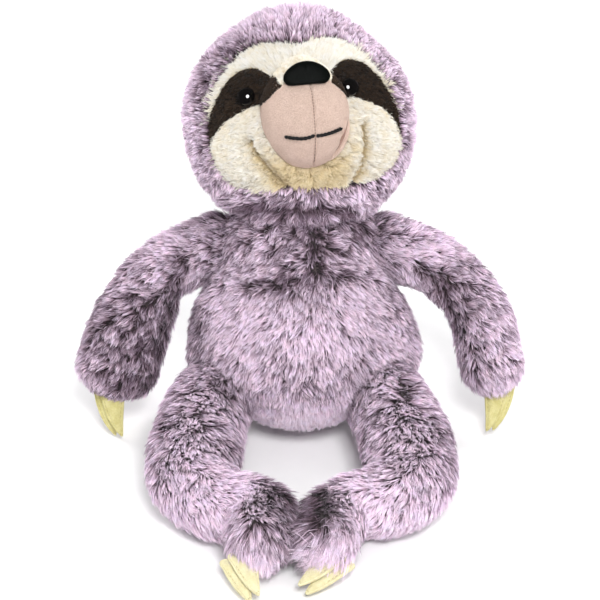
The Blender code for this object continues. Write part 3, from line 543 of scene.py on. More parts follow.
class Finish:
    """A material whose nodes are added one by one."""

    def __init__(self, name, roughness=0.9, **sockets):
        self.material = bpy.data.materials.new(name)
        self.material.use_nodes = True
        self.tree = self.material.node_tree
        self.shader = self.tree.nodes["Principled BSDF"]
        self.shader.inputs["Roughness"].default_value = roughness
        for socket, value in sockets.items():
            self.shader.inputs[socket.replace("_", " ")].default_value = value
        self.place = None

    def node(self, kind, links=(), **settings):
        made = self.tree.nodes.new(f"ShaderNode{kind}")
        for key, value in settings.items():
            if hasattr(made, key):
                setattr(made, key, value)
            else:
                made.inputs[key.replace("_", " ")].default_value = value
        for socket, source in links:
            self.tree.links.new(source, made.inputs[socket])
        return made

    def object_place(self):
        if self.place is None:
            self.place = self.node("TexCoord").outputs["Object"]
        return self.place

    def noise(self, scale, detail=3.0, roughness=0.6, distortion=0.0):
        made = self.node("TexNoise", [("Vector", self.object_place())], Scale=scale, Detail=detail,
                         Roughness=roughness, Distortion=distortion)
        return made.outputs["Fac"]

    def cells(self, scale, feature="F1"):
        made = self.node("TexVoronoi", [("Vector", self.object_place())], feature=feature, Scale=scale)
        return made.outputs["Distance"]

    def ramp(self, source, stops):
        made = self.node("ValToRGB", [("Fac", source)])
        elements = made.color_ramp.elements
        while len(elements) < len(stops):
            elements.new(0.5)
        for element, (at, value) in zip(elements, stops):
            element.position = at
            element.color = colour(value) if isinstance(value, tuple) else (value, value, value, 1)
        return made.outputs["Color"]

    def mix(self, share, a, b, kind="MIX"):
        made = self.tree.nodes.new("ShaderNodeMix")
        made.data_type, made.blend_type = "RGBA", kind
        for index, value in ((0, share), (6, a), (7, b)):
            if hasattr(value, "node"):
                self.tree.links.new(value, made.inputs[index])
            elif index == 0:
                made.inputs[0].default_value = value
            else:
                made.inputs[index].default_value = colour(value)
        return made.outputs[2]

    def math(self, operation, *values):
        made = self.tree.nodes.new("ShaderNodeMath")
        made.operation = operation
        for slot, value in zip(made.inputs, values):
            if hasattr(value, "node"):
                self.tree.links.new(value, slot)
            else:
                slot.default_value = value
        return made.outputs[0]

    def shows(self, base=None, roughness=None, height=None, strength=0.5, distance=0.0005):
        for name, source in (("Base Color", base), ("Roughness", roughness)):
            if source is not None:
                self.tree.links.new(source, self.shader.inputs[name])
        if height is not None:
            relief = self.node("Bump", [("Height", height)], Strength=strength, Distance=distance)
            self.tree.links.new(relief.outputs["Normal"], self.shader.inputs["Normal"])
        return self.material


def strands(name, deep, pale, warm, cool, sheen=0.15):
    """Pile: root to tip runs up the map, dark to pale tufts run across it, and its tint wanders."""
    finish = Finish(name, 0.85, Sheen_Weight=sheen, Sheen_Roughness=0.4, Specular_IOR_Level=0.08)
    split = finish.node("SeparateXYZ", [("Vector", finish.node("UVMap", uv_map="OFBake").outputs["UV"])])
    base = finish.mix(split.outputs["X"], finish.ramp(split.outputs["Y"], deep),
                      finish.ramp(split.outputs["Y"], pale))
    tint = finish.ramp(finish.noise(170, 4.0, 0.7), ((0.36, warm), (0.64, cool)))
    base = finish.mix(1.0, base, tint, "MULTIPLY")
    rough = finish.ramp(split.outputs["Y"], ((0.0, 0.95), (0.6, 0.85), (1.0, 0.7)))
    return finish.shows(base, rough)


PAINTED_HEIGHT_LIGHT_SCALE = 3.0  # heights in metres times this run along the painted height light's ramp


def cloth(name, dark, light, scale, roughness=0.9, strength=0.5, distance=0.0004, sheen=0.1, weave=True,
          specular=0.25, blotch=0.5, painted_height_light=None):
    """Woven or felted cloth: broad blotches and a fine grain, and with a height ramp painted light that changes with
    height.
    """
    finish = Finish(name, roughness, Sheen_Weight=sheen, Sheen_Roughness=0.5, Specular_IOR_Level=specular)
    broad = finish.noise(scale * 0.12, 3.0)
    fine = finish.noise(scale, 4.0, 0.7)
    share = finish.math("ADD", finish.math("MULTIPLY", broad, blotch),
                        finish.math("MULTIPLY", fine, 1 - blotch))
    base = finish.ramp(share, ((0.32, dark), (0.68, light)))
    if painted_height_light:
        height = finish.node("SeparateXYZ", [("Vector", finish.object_place())]).outputs["Z"]
        fade = finish.ramp(finish.math("MULTIPLY", height, PAINTED_HEIGHT_LIGHT_SCALE), painted_height_light)
        base = finish.mix(1.0, base, fade, "MULTIPLY")
    rough = finish.ramp(fine, ((0.3, min(roughness + 0.08, 1.0)), (0.7, roughness - 0.08)))
    height = finish.math("ADD", fine, finish.cells(scale * 1.6)) if weave else fine
    return finish.shows(base, rough, height, strength, distance)


LILAC = strands(
    "lilac_plush_pile",
    ((0.0, (0.006, 0.004, 0.006)), (0.36, (0.020, 0.013, 0.016)), (0.62, (0.07, 0.044, 0.057)),
     (1.0, (0.32, 0.222, 0.302))),
    ((0.0, (0.012, 0.008, 0.012)), (0.28, (0.065, 0.040, 0.050)), (0.48, (0.50, 0.355, 0.45)),
     (0.72, (0.95, 0.77, 0.94)), (1.0, (1.0, 0.91, 1.0))),
    (1.0, 0.945, 0.94), (0.96, 0.965, 1.0),
)
# The dark yellowish low ends of the cream ramps give the painted shade in the face's folds and under the muzzle its
# colour.
CREAM = strands(
    "cream_plush_pile",
    ((0.0, (0.34, 0.25, 0.12)), (0.40, (0.48, 0.37, 0.20)), (0.75, (0.68, 0.56, 0.35)),
     (1.0, (0.80, 0.70, 0.48))),
    ((0.0, (0.52, 0.42, 0.26)), (0.30, (0.77, 0.71, 0.58)), (0.60, (0.84, 0.82, 0.75)),
     (1.0, (0.89, 0.885, 0.87))),
    (1.0, 0.98, 0.93), (0.98, 0.98, 1.0),
)
BROWN = strands(
    "brown_plush_pile",
    ((0.0, (0.004, 0.002, 0.001)), (0.5, (0.010, 0.0055, 0.003)), (1.0, (0.030, 0.016, 0.008))),
    ((0.0, (0.006, 0.003, 0.0015)), (0.5, (0.022, 0.012, 0.006)), (1.0, (0.052, 0.029, 0.014))),
    (1.0, 0.95, 0.9), (0.9, 0.92, 1.0),
)
LILAC_BACKING = cloth("lilac_plush_backing", (0.02, 0.013, 0.014), (0.07, 0.045, 0.05), 2200)
CREAM_BACKING = cloth("cream_plush_backing", (0.34, 0.24, 0.12), (0.62, 0.50, 0.30), 2200)
BROWN_BACKING = cloth("brown_plush_backing", (0.004, 0.002, 0.001), (0.016, 0.010, 0.006), 2200)
# Painted light: the velour is a tenth darker high on the muzzle, so that its lower part reads as lit from below.
VELOUR = cloth("peach_velour", (0.68, 0.46, 0.36), (1.0, 0.77, 0.66), 1300, 0.9, 1.0, 0.0010, 0.05,
               blotch=0.15, painted_height_light=((0.58, 1.0), (0.70, 0.90)))
NOSE_CLOTH = cloth("black_nose_velour", (0.001, 0.0015, 0.001), (0.003, 0.004, 0.0035), 3000, 0.5, 0.5,
                   0.0003, 0.0, specular=0.03)
THREAD = cloth("black_thread", (0.002, 0.002, 0.002), (0.008, 0.008, 0.008), 5000, 0.6, 0.6,
               0.0002, 0.0, specular=0.12)
# One yellow felt as two copies in painted shade and painted light: the hand claws' copy is darker, the foot claws'
# copy paler.
FELT = {
    "hand": cloth("yellow_felt", (0.58, 0.51, 0.16), (0.86, 0.80, 0.40), 1600, 0.95, 0.9, 0.0005, 0.25),
    "foot": cloth("yellow_felt_in_painted_light", (0.72, 0.64, 0.32), (0.95, 0.89, 0.60), 1600, 0.95, 0.9, 0.0005,
                  0.25),
}
FELT_THREAD = cloth("pale_thread", (0.36, 0.30, 0.10), (0.60, 0.52, 0.22), 4000, 0.7, 0.6, 0.0002)
SEAM_THREAD = cloth("brown_thread", (0.20, 0.11, 0.08), (0.36, 0.22, 0.17), 4000, 0.7, 0.6, 0.0002)
STUFFING = cloth("polyester_stuffing", (0.80, 0.80, 0.80), (0.95, 0.95, 0.95), 900, 1.0, 0.9, 0.0008)
# Lilac seam cloth darkened as painted shade, so that the seam reads as in shadow.
SEAM = cloth("rolled_seam_in_painted_shade", (0.025, 0.016, 0.019), (0.09, 0.058, 0.070), 900)
WASHER = cloth("washer_plastic", (0.72, 0.72, 0.70), (0.82, 0.82, 0.80), 600, 0.4, 0.15, 0.0001, 0.0, False)


def eye_finish():
    finish = Finish("black_eye_plastic", 0.05, Specular_IOR_Level=0.25)
    grain = finish.noise(300, 2.0)
    base = finish.ramp(grain, ((0.3, (0.002, 0.002, 0.002)), (0.7, (0.005, 0.004, 0.004))))
    return finish.shows(base, finish.ramp(grain, ((0.3, 0.04), (0.7, 0.07))))


EYE_PLASTIC = eye_finish()

# The long plush

PLUSH = Look(LILAC, "lilac_plush", 2.7, 0.38, 2.1, 11.0, 0.60, 0.36, 0.15, 0.95, 0.18)
SHORT = Look(CREAM, "cream_plush", 8.0, 0.28, 1.7, 10.0, 0.15, 0.16, 0.10, 0.10, 0.0)
PATCH = Look(BROWN, "brown_plush", 5.5, 0.32, 2.2, 8.0, 0.30, 0.22, 0.12, 0.20, 0.0)

# Creases and partings seen in the photograph, where the backing sinks and the pile gets painted shade: points in its
# frame, half width in pixels, strength
CREASES = {
    "torso": (
        (((315, 222), (315, 268)), 4, 1.0),
        (((250, 286), (300, 277), (318, 277), (356, 274)), 5, 0.8),
        (((200, 300), (206, 330)), 5, 0.5),
    ),
    "head": ((((246, 207), (275, 204), (300, 201), (345, 205)), 5.5, 1.2),),
    "arm_left": ((((186, 258), (170, 300), (160, 345), (152, 400)), 7, 0.8),),
    "arm_right": ((((416, 262), (437, 278)), 5, 0.9), (((437, 278), (458, 330)), 5, 0.4)),
    "leg_left": ((((219, 387), (264, 425)), 5, 0.8), (((262, 482), (285, 500)), 6, 0.7)),
    "leg_right": (
        (((353, 402), (342, 425)), 5, 0.7), (((402, 390), (403, 396)), 5, 0.9),
        (((322, 478), (322, 523)), 5, 0.9),
    ),
}
# Lighter or darker, and calm or ruffled places in the photograph's frame: place, radii, shade, ruffle. The shade is
# mostly painted light and painted shade, such as bright undersides and the dark gap between the shins, and in a few
# places the fur's own tone.
PLACES = {
    "torso": (
        (305, 424, 54, 24, 1.3, -0.15), (305, 350, 90, 44, 0.02, -0.3), (300, 262, 90, 26, -0.05, 0.4),
        (265, 222, 60, 20, -0.20, 0.7), (350, 225, 50, 22, -0.08, 0.4), (205, 290, 20, 16, 0.06, 0.4),
    ),
    "head": ((310, 10, 80, 25, 0.05, -0.2), (412, 110, 20, 80, 0.20, -0.1), (192, 120, 18, 60, 0.36, 0.1),
             (211, 100, 5, 30, -0.14, 0.2), (238, 53, 9, 8, -0.22, 0.2), (372, 72, 10, 12, -0.20, 0.2),
             (209, 147, 3, 10, -0.55, 0.0), (401, 139, 3, 9, -0.50, 0.0),
             (300, 190, 110, 7, 0.12, 0.3), (312, 204, 34, 8, -0.26, 0.6), (300, 217, 90, 9, -0.16, 0.8)),
    "arm_left": ((165, 250, 26, 18, 0.12, 0.0), (120, 330, 50, 60, -0.20, 0.4),
                 (130, 385, 40, 24, -0.10, 0.2)),
    "arm_right": ((425, 245, 30, 24, 0.30, -0.1), (500, 340, 24, 60, 0.34, -0.2),
                  (450, 300, 22, 40, -0.22, 0.5)),
    "leg_left": ((205, 415, 45, 35, 0.40, 0.4), (195, 505, 50, 36, 0.55, -0.2),
                 (272, 500, 22, 18, -0.50, 0.2), (296, 530, 9, 45, -0.60, 0.3), (248, 562, 32, 20, 0.9, -0.2)),
    "leg_right": ((402, 415, 45, 40, 0.38, 0.4), (400, 505, 50, 36, 0.50, -0.2),
                  (318, 500, 22, 22, -0.45, 0.2), (303, 520, 9, 45, -0.70, 0.3), (326, 562, 32, 20, 0.9, -0.2)),
}

# Where a form is fuller than its spine says, in millimetres: place, radius, push
SWELLS = {
    "torso": (((74, -12, 60), 26, (5.0, 0.0, 0.0)), ((0, -62, 20), 26, (0.0, -3.0, -2.0))),
    "leg_left": (((-10, -156, 26), 15, (9.5, 2.0, 1.0)), ((-8, -186, 18), 14, (5.5, 0.0, 0.0)),
                 ((-26, -206, 15), 17, (1.5, -7.0, -0.5))),
    "leg_right": (((10, -156, 26), 15, (-9.5, 2.0, 1.0)), ((1, -186, 18), 14, (-5.5, 0.0, 0.0)),
                  ((14, -202, 15), 23, (-3.0, -11.0, 0.0))),
}


# How far a normal turns to the camera before a crease starts to show, and where it shows in full
FACING = {"head": (-0.5, -0.1), "limbs": (0.05, 0.4)}


def creased(name, points, normals):
    """How strongly a crease shows at points that face the camera, and the way that leads off it."""
    strength, away = np.zeros(len(points)), np.zeros_like(points)
    flat = pixels(points)
    facing = step(*FACING.get(name, FACING["limbs"]), normals @ BACK_WAY)
    for line, wide, depth in CREASES.get(name, ()):
        gap, off = segment_gap(flat, line)
        strength = np.maximum(strength, bump(gap, wide) * depth * facing)
        away += ((off[:, :1] * (1, 0, 0) - off[:, 1:] * UP_WAY)
                 * (bump(gap, wide * 3) * depth * facing)[:, None])
    return strength, away


def places(name, points, normals):
    """The painted light and shade, with some own tone, and the ruffle that the photograph's places add."""
    shade, ruffle = np.zeros(len(points)), np.zeros(len(points))
    flat = pixels(points)
    facing = step(-0.5, 0.0, normals @ BACK_WAY)
    for x, y, wide, tall, light, rough in PLACES.get(name, ()):
        here = np.exp(-(((flat[:, 0] - x) / wide) ** 2 + ((flat[:, 1] - y) / tall) ** 2)) * facing
        shade += light * here
        ruffle += rough * here
    return shade, ruffle


def polar_table(points):
    """Angles in rising order, with the points' distances from the middle."""
    angles = np.arctan2(points[:, 1], points[:, 0])
    order = np.argsort(angles)
    return angles[order], np.linalg.norm(points, axis=1)[order]


def face_curve():
    half = [(x, z * (FACE_SIZE[1] if z > 0 else FACE_SIZE[2])) for x, z in FACE_SHARES]
    return closed_path([(x * FACE_SIZE[0], z) for x, z in half]
                       + [(-x * FACE_SIZE[0], z) for x, z in half[-2:0:-1]])


FACE_TABLE = polar_table(face_curve())


def face_radius(angle):
    """How far the face's outline lies from its middle."""
    return np.interp(angle, *FACE_TABLE, period=TURN)


def face_share(local):
    """1 on the face's outline, less inside it, and large behind the head's middle."""
    radius = np.hypot(local[..., 0], local[..., 2])
    share = radius / face_radius(np.arctan2(local[..., 2], local[..., 0]))
    return np.where(local[..., 1] < 0, share, 9.0)


# How far the hood's pile comes over the face's edge: degrees from the viewer's right, share of the radius
OVERLAPS = (
    (-180, 0.07), (-155, 0.10), (-125, 0.05), (-105, 0.09), (-85, 0.05), (-60, 0.02), (-35, 0.06),
    (0, 0.055), (30, 0.10), (60, 0.115), (75, 0.08), (90, 0.0), (105, 0.085), (135, 0.10), (160, 0.07),
)


def hood_overlap(x, z):
    return np.interp(np.degrees(np.arctan2(z, x)), *np.array(OVERLAPS).T, period=360)


def head_local(points):
    return (points - HEAD_CENTRE) @ HEAD_TURN


def head_world(points):
    return points @ HEAD_TURN.T + HEAD_CENTRE


GRIDS = {"torso": (150, 190), "head": (150, 190), "limbs": (130, 96)}
FLOOR_GAP = 1.0
CREASE_DEPTH = 1.0
LUMP_SIZE, LUMP_HEIGHT = 26, 0.6


def skin_grid(name):
    """The backing cloth of a long-piled form, with its lumps and creases."""
    grid = FORMS[name].grid(*GRIDS.get(name, GRIDS["limbs"]), BACKING)
    normal, _ = grid_normals(grid)
    flat, facing = grid.reshape(-1, 3), normal.reshape(-1, 3)
    depth = lumps(flat, LUMP_SIZE, 3) * LUMP_HEIGHT - CREASE_DEPTH * creased(name, flat, facing)[0]
    flat = flat + facing * depth[:, None]
    for place, wide, push in SWELLS.get(name, ()):
        flat = flat + bump(np.linalg.norm(flat - place, axis=1), wide)[:, None] * push
    flat[:, 2] = np.maximum(flat[:, 2], FLOOR_GAP)
    return flat.reshape(grid.shape)


def comb_for(name, root, normal, along):
    """Which way the pile leans."""
    down = np.array((0.0, 0.0, -1.0))
    if name == "torso":
        way = np.stack([np.tanh((root[:, 0] - 8) / 16) * (0.25 + 0.5 * step(70, 120, root[:, 2])),
                        np.full(len(root), -0.1), np.full(len(root), -1.0)], 1)
    elif name == "head":
        local = head_local(root)
        way = np.tile((0.0, 1.0, 0.0), (len(root), 1)) @ HEAD_TURN.T
        way = way * step(60, 20, local[:, 1])[:, None] + down * (0.25 + step(10, 50, local[:, 1]))[:, None]
        chin = step(-30, -50, local[:, 2]) * (local[:, 1] < 0)
        way = way * (1 - 0.6 * chin)[:, None] + down * (1.2 * chin)[:, None]
        way[:, 0] += np.tanh(local[:, 0] / 30) * chin * 0.6
    elif name.startswith("arm"):
        way = along + np.array((0.45 * np.sign(root[:, 0].mean()), 0.0, 0.0)) + down * 0.3
    else:
        way = along * 0.9 + down * 0.75
    return way


PILE_RISE, PILE_LAY, PILE_SHADE = 7.2, 9.0, 0.87
HIDDEN_KEPT = 0.2  # the share of strands kept where the root lies inside another form
HOOD_EDGE = 0.99  # the share of the face's radius at which the hood's pile starts
FULL_EDGE = 1.2


def near_others(name, root, normal):
    """Which roots lie inside another form, and how close the rest are to one."""
    hidden = np.zeros(len(root), bool)
    closeness = np.zeros(len(root))
    for other, shape in FORMS.items():
        if other != name:
            hidden |= shape.reach(root, BACKING + 1) < 1
            closeness = np.maximum(closeness, 1 - step(0.95, 1.12, shape.reach(root + normal * 4)))
    return hidden, closeness


def long_pile(name, seed):
    """A form's backing cloth and its long pile."""
    grid = skin_grid(name)
    part, _, place = name.partition("_")
    node = f"{part}_skin_{place}" if place else f"{part}_skin"
    kept_quads = None
    if name == "head":
        quads = grid_faces(*grid.shape[:2]).reshape(-1, 4)
        kept_quads = face_share(head_local(grid.reshape(-1, 3)[quads].mean(1))) > 0.95
    keep(skin_object(f"{name}_backing", grid, LILAC_BACKING, wanted_quads=kept_quads),
         name, "lilac_plush", node, fill=0.8)
    root, normal, along = scatter(grid, PLUSH.density, seed)
    pick = np.random.default_rng(seed + 50)
    hidden, closeness = near_others(name, root, normal)
    wanted = ~hidden | (pick.random(len(root)) < HIDDEN_KEPT)
    edge = np.ones(len(root))
    if name == "head":
        local = head_local(root)
        share = face_share(local) + hood_overlap(local[:, 0], local[:, 2])
        wanted &= share > HOOD_EDGE
        edge = step(HOOD_EDGE, FULL_EDGE, share)
    root, normal, along, hidden, closeness, edge = (
        table[wanted] for table in (root, normal, along, hidden, closeness, edge))
    crease, away = creased(name, root, normal)
    light, ruffle = places(name, root, normal)
    comb = flat_to(normal, unit(comb_for(name, root, normal, along)) + away * 1.2)
    under = step(0.2, -0.8, normal[:, 2])
    rise = (PILE_RISE * np.where(hidden, 0.3, 1 - 0.4 * crease - 0.2 * closeness)
            * (1 - 0.35 * step(10, 3, root[:, 2])))
    lay = PILE_LAY * np.where(hidden, 0.5, 1.0) * (0.45 + 0.55 * edge)
    # Painted shade and light: the pile is darker in the creases and near other forms, lighter where it faces down, and
    # lighter or darker at the photograph's places.
    shade = (PILE_SHADE + 0.12 * lumps(root, 30, seed + 9) - 0.65 * crease - 0.20 * closeness
             + 0.20 * under + light)
    if name == "head":
        local = head_local(root)
        chin = step(-40, -56, local[:, 2]) * (local[:, 1] < 0)
        lay = lay * (1 + 0.5 * chin)
        rise = (rise + 2.0 * bump(local[:, 0], 30) * step(58, 74, local[:, 2])
                - 3.0 * bump(np.hypot(local[:, 0] - 50, local[:, 2] - 52), 26))
        # Under the chin the painted shade near the torso is taken back; along the face's edge on the viewer's left the
        # hood's pile gets painted shade.
        shade += 0.22 * closeness * chin - 0.14 * (1 - edge) * step(40, 0, local[:, 0])
    elif name == "torso":
        # Near the neck the torso's painted shade by the head is partly taken back.
        shade += 0.14 * closeness * step(130, 150, root[:, 2])
    elif part == "leg":
        toes = step(-178, -196, root[:, 1])
        lay = lay * (1 + (0.6 if place == "left" else 1.0) * toes)
        if place == "right":
            rise = rise * (1 - 0.5 * step(30, 38, root[:, 0]) * step(-160, -176, root[:, 1]))
    opening = np.clip(0.45 + ruffle + 0.35 * lumps(root, 34, seed + 12) + 0.4 * crease, 0.05, 1.2)
    # The roots are paled with the painted light of the places and the undersides, less in the creases.
    paling = np.clip(0.5 * np.maximum(light, 0) + 0.3 * under - 0.1 * ruffle, 0, 0.75) * (1 - crease)
    pile(f"{name}_pile", name, PLUSH, root, normal, comb, rise, lay, shade, seed + 100, (node,),
         opening, paling)


for number, form_name in enumerate(FORMS):
    long_pile(form_name, 200 + number * 10)

# The face


def outline_depth(x, z, inset):
    """How far forward of the head's middle its front lies."""
    tall = np.where(z > 0, CROWN, CHIN) - inset
    left = 1 - (x / (HEAD_HALVES[0] - inset)) ** 2 - (z / tall) ** 2
    return (HEAD_HALVES[1] - inset) * np.sqrt(np.maximum(left, 0.0))


def face_normal(x, z):
    tall = np.where(z > 0, CROWN, CHIN)
    depth = outline_depth(x, z, FACE_SINK)
    return unit(np.stack([x / HEAD_HALVES[0] ** 2, -depth / HEAD_HALVES[1] ** 2, z / tall ** 2], -1))


FOLDS = (
    ((-36, -11), (-32, -20), (-23.5, -32), (-15, -41)),
    ((37, -7), (37.5, -19), (34, -34), (27, -43)),
)
FACE_BACKING = 6.2
FACE_PILE = 4.2
PATCH_LIFT = 0.25
EYE_CLEAR = 5.2  # no pile grows under an eye


def face_swell(x, z):
    """How the stuffing and the folds raise or sink the face's cloth."""
    flat = np.stack([x, z], -1).reshape(-1, 2)
    groove = np.zeros(len(flat))
    for line in FOLDS:
        groove = np.maximum(groove, bump(segment_gap(flat, line)[0], 3.0))
    groove = groove.reshape(x.shape)
    swell = 3.4 * bump(np.hypot(np.abs(x) - 47, (z + 22) * 0.8), 17)
    ring = np.hypot(x / 27.0, (z - 3) / 35.0)
    swell += 3.0 * bump((ring - 1.12) * 27, 7.0) * step(6, -14, z)
    swell += 1.2 * bump(np.hypot(np.abs(x) - 20, z - 48), 14)
    waves = 0.3 * np.sin(x * 0.21 + 1.0) * np.sin(z * 0.24)
    return np.minimum(swell, 3.8) * (1 - groove) - 1.1 * groove + waves


def face_grid(rows=90, columns=260):
    share = np.linspace(0.01, 1.0, rows)[:, None]
    angle = np.arange(columns) / columns * TURN
    radius = share * face_radius(np.where(angle > math.pi, angle - TURN, angle))[None]
    x, z = radius * np.cos(angle), radius * np.sin(angle)
    points = np.stack([x, -outline_depth(x, z, FACE_SINK), z], -1)
    sink = FACE_BACKING - FACE_SINK - face_swell(x, z) * step(1.0, 0.86, share)
    return points - face_normal(x, z) * sink[..., None]


def patch_outline(sign, inset=0.0):
    path = closed_path([
        (sign * (PATCH_PLACE[0] + out * PATCH_LENGTH), PATCH_PLACE[1] + up * PATCH_LENGTH)
        for out, up in PATCH_SHARES
    ])
    along = unit(np.roll(path, -1, 0) - np.roll(path, 1, 0))
    return path - inset * sign * np.stack([-along[:, 1], along[:, 0]], 1)


def face_point(x, z, inset):
    x, z = np.atleast_1d(np.asarray(x, float)), np.atleast_1d(np.asarray(z, float))
    base = np.stack([x, -outline_depth(x, z, FACE_SINK), z], -1)
    return base - face_normal(x, z) * (inset - FACE_SINK)


def folds_at(flat):
    """How deep in a fold of the face flat points lie, and the way that leads off it."""
    fold = np.zeros(len(flat))
    away = np.zeros((len(flat), 3))
    for line in FOLDS:
        gap, off = segment_gap(flat, line)
        fold = np.maximum(fold, bump(gap, 2.4))
        away[:, (0, 2)] += off * bump(gap, 6)[:, None]
    return fold, away


def patch_backing(side, grid, outline):
    """The dark cloth under a patch's pile, cut from the face's cloth."""
    flat = grid.reshape(-1, 3)
    quads = grid_faces(*grid.shape[:2]).reshape(-1, 4)
    chosen = quads[inside(flat[quads].mean(1)[:, (0, 2)], outline)]
    used, fresh = np.unique(chosen, return_inverse=True)
    lifted = flat[used] + np.array((0, -PATCH_LIFT, 0))
    made = new_object(f"eye_patch_backing_{side}", head_world(lifted), fresh.reshape(-1),
                      np.full(len(chosen), 4), BROWN_BACKING)
    keep(made, "head", "brown_plush", f"eye_patch_{side}")


def make_face():
    grid = face_grid()
    keep(skin_object("face_backing", head_world(grid.reshape(-1, 3)).reshape(grid.shape), CREAM_BACKING,
                     (True, False)), "head", "cream_plush", "face_panel", fill=0.8)
    root, normal, _ = scatter(grid, SHORT.density, 400)
    normal = np.where((normal[:, 1] > 0)[:, None], -normal, normal)
    flat = root[:, (0, 2)]
    seen = np.hypot(flat[:, 0] / MUZZLE[0], (flat[:, 1] - MUZZLE_PLACE[2]) / MUZZLE[2]) > 0.72
    seen &= face_share(root) + hood_overlap(flat[:, 0], flat[:, 1]) < 1.02
    for x, z in EYE.values():
        seen &= np.hypot(flat[:, 0] - x, flat[:, 1] - z) > EYE_CLEAR
    root, normal, flat = root[seen], normal[seen], flat[seen]
    x, z = flat.T
    fold, away = folds_at(flat)
    rim = step(0.80, 1.0, np.hypot(x, z) / face_radius(np.arctan2(z, x)))
    way = np.stack([x * 0.02, np.zeros(len(flat)), -0.4 - 0.01 * z], 1)
    way[:, 2] += 1.4 * step(20, 40, z)
    way[:, (0, 2)] += flat / 40 * rim[:, None]
    comb = flat_to(normal, unit(way) + away * 1.5)
    outlines = [patch_outline(sign, 1.2) for _, sign in SIDES]
    dark = [inside(flat, outline) for outline in outlines]
    border = np.ones(len(flat))
    for outline in outlines:
        gap, _ = segment_gap(flat, np.vstack([outline, outline[:1]]))
        border = np.minimum(border, step(0.0, 3.0, gap))
    ring = np.hypot(x / 27.0, (z - 3) / 35.0)
    # Painted light and shade: the cream is made lighter towards the brow, and darker and more parted in the folds and
    # in low, the painted shadow under the muzzle.
    low = step(-8, -34, z) * bump(np.abs(x), 30) * bump(ring - 1.12, 0.4)
    shade = 0.80 + 0.18 * step(15, 40, z) - 0.50 * fold - 1.30 * low + 0.05 * lumps(root, 12, 5)
    rise = FACE_PILE * (1 - 0.4 * fold) * (0.8 + 0.2 * border) * (1 + 0.25 * rim)
    turn = HEAD_TURN.T
    cream = ~(dark[0] | dark[1])
    pile("face_pile", "head", SHORT, head_world(root[cream]), normal[cream] @ turn, comb[cream] @ turn,
         rise[cream], (3.8 + 1.2 * rim)[cream], shade[cream], 410, ("face_panel",),
         (0.10 + 0.5 * low + 0.3 * fold)[cream], (0.25 * (1 - fold))[cream])
    for (side, sign), outline, part in zip(SIDES, outlines, dark):
        comb = flat_to(normal[part], unit(np.tile((sign * 0.7, 0.0, -0.9), (part.sum(), 1))))
        pile(f"eye_patch_pile_{side}", "head", PATCH, head_world(root[part]), normal[part] @ turn,
             comb @ turn, rise[part] * 0.95, np.full(part.sum(), 2.4),
             0.42 + 0.1 * lumps(root[part], 10, 6), 430, (f"eye_patch_{side}",), 0.2)
        patch_backing(side, grid, outline)


def turned(profile, columns):
    """Grid of points turned round Z from (radius, height) pairs."""
    a = np.arange(columns) / columns * TURN
    r, z = np.array(profile, float).T
    return np.stack([r[:, None] * np.cos(a), r[:, None] * np.sin(a), np.repeat(z[:, None], columns, 1)], -1)


def frame_on(normal):
    """A turn whose third column is the normal."""
    side = unit(np.cross((0.0, 0.0, 1.0), normal))
    return np.stack([side, np.cross(normal, side), normal], 1)


def make_eyes():
    radius, dome = 6.0, 4.5
    for side, sign in SIDES:
        place = face_point(*EYE[sign], FACE_SINK)[0]
        turn = frame_on(face_normal(*np.array(EYE[sign])[:, None])[0])
        arc = np.linspace(0.02, math.pi / 2, 22)
        profile = [(radius * math.sin(t), 0.3 + dome * math.cos(t)) for t in arc]
        profile += [(radius * 0.99, -0.1), (radius * 0.93, -0.5), (1.7, -0.6), (1.6, -1.0), (1.6, -14.0), (0.1, -14.0)]
        grid = turned(profile, 56)
        keep(skin_object(f"eye_dome_{side}", head_world(grid @ turn.T + place), EYE_PLASTIC),
             "head", "black_plastic", f"eye_{side}")


# Muzzle, nose and mouth


def egg(x, y, z, inset=0.0):
    narrow = 1 - EGG_TAPER * np.maximum(z, 0) ** 2
    half = np.array(MUZZLE) - inset
    return np.stack([x * half[0] * narrow, y * half[1] * narrow, z * half[2]], -1)


def egg_front(x, z, inset=0.0):
    half = np.array(MUZZLE) - inset
    up = z / half[2]
    narrow = 1 - EGG_TAPER * np.maximum(up, 0) ** 2
    across = x / (half[0] * narrow)
    out = np.sqrt(np.maximum(1 - up ** 2 - across ** 2, 0))
    return np.stack([x + 0 * up, -out * half[1] * narrow, z + 0 * x], -1)


def muzzle_world(points):
    return head_world(points @ rotation("Z", MUZZLE_YAW).T + np.array(MUZZLE_PLACE))


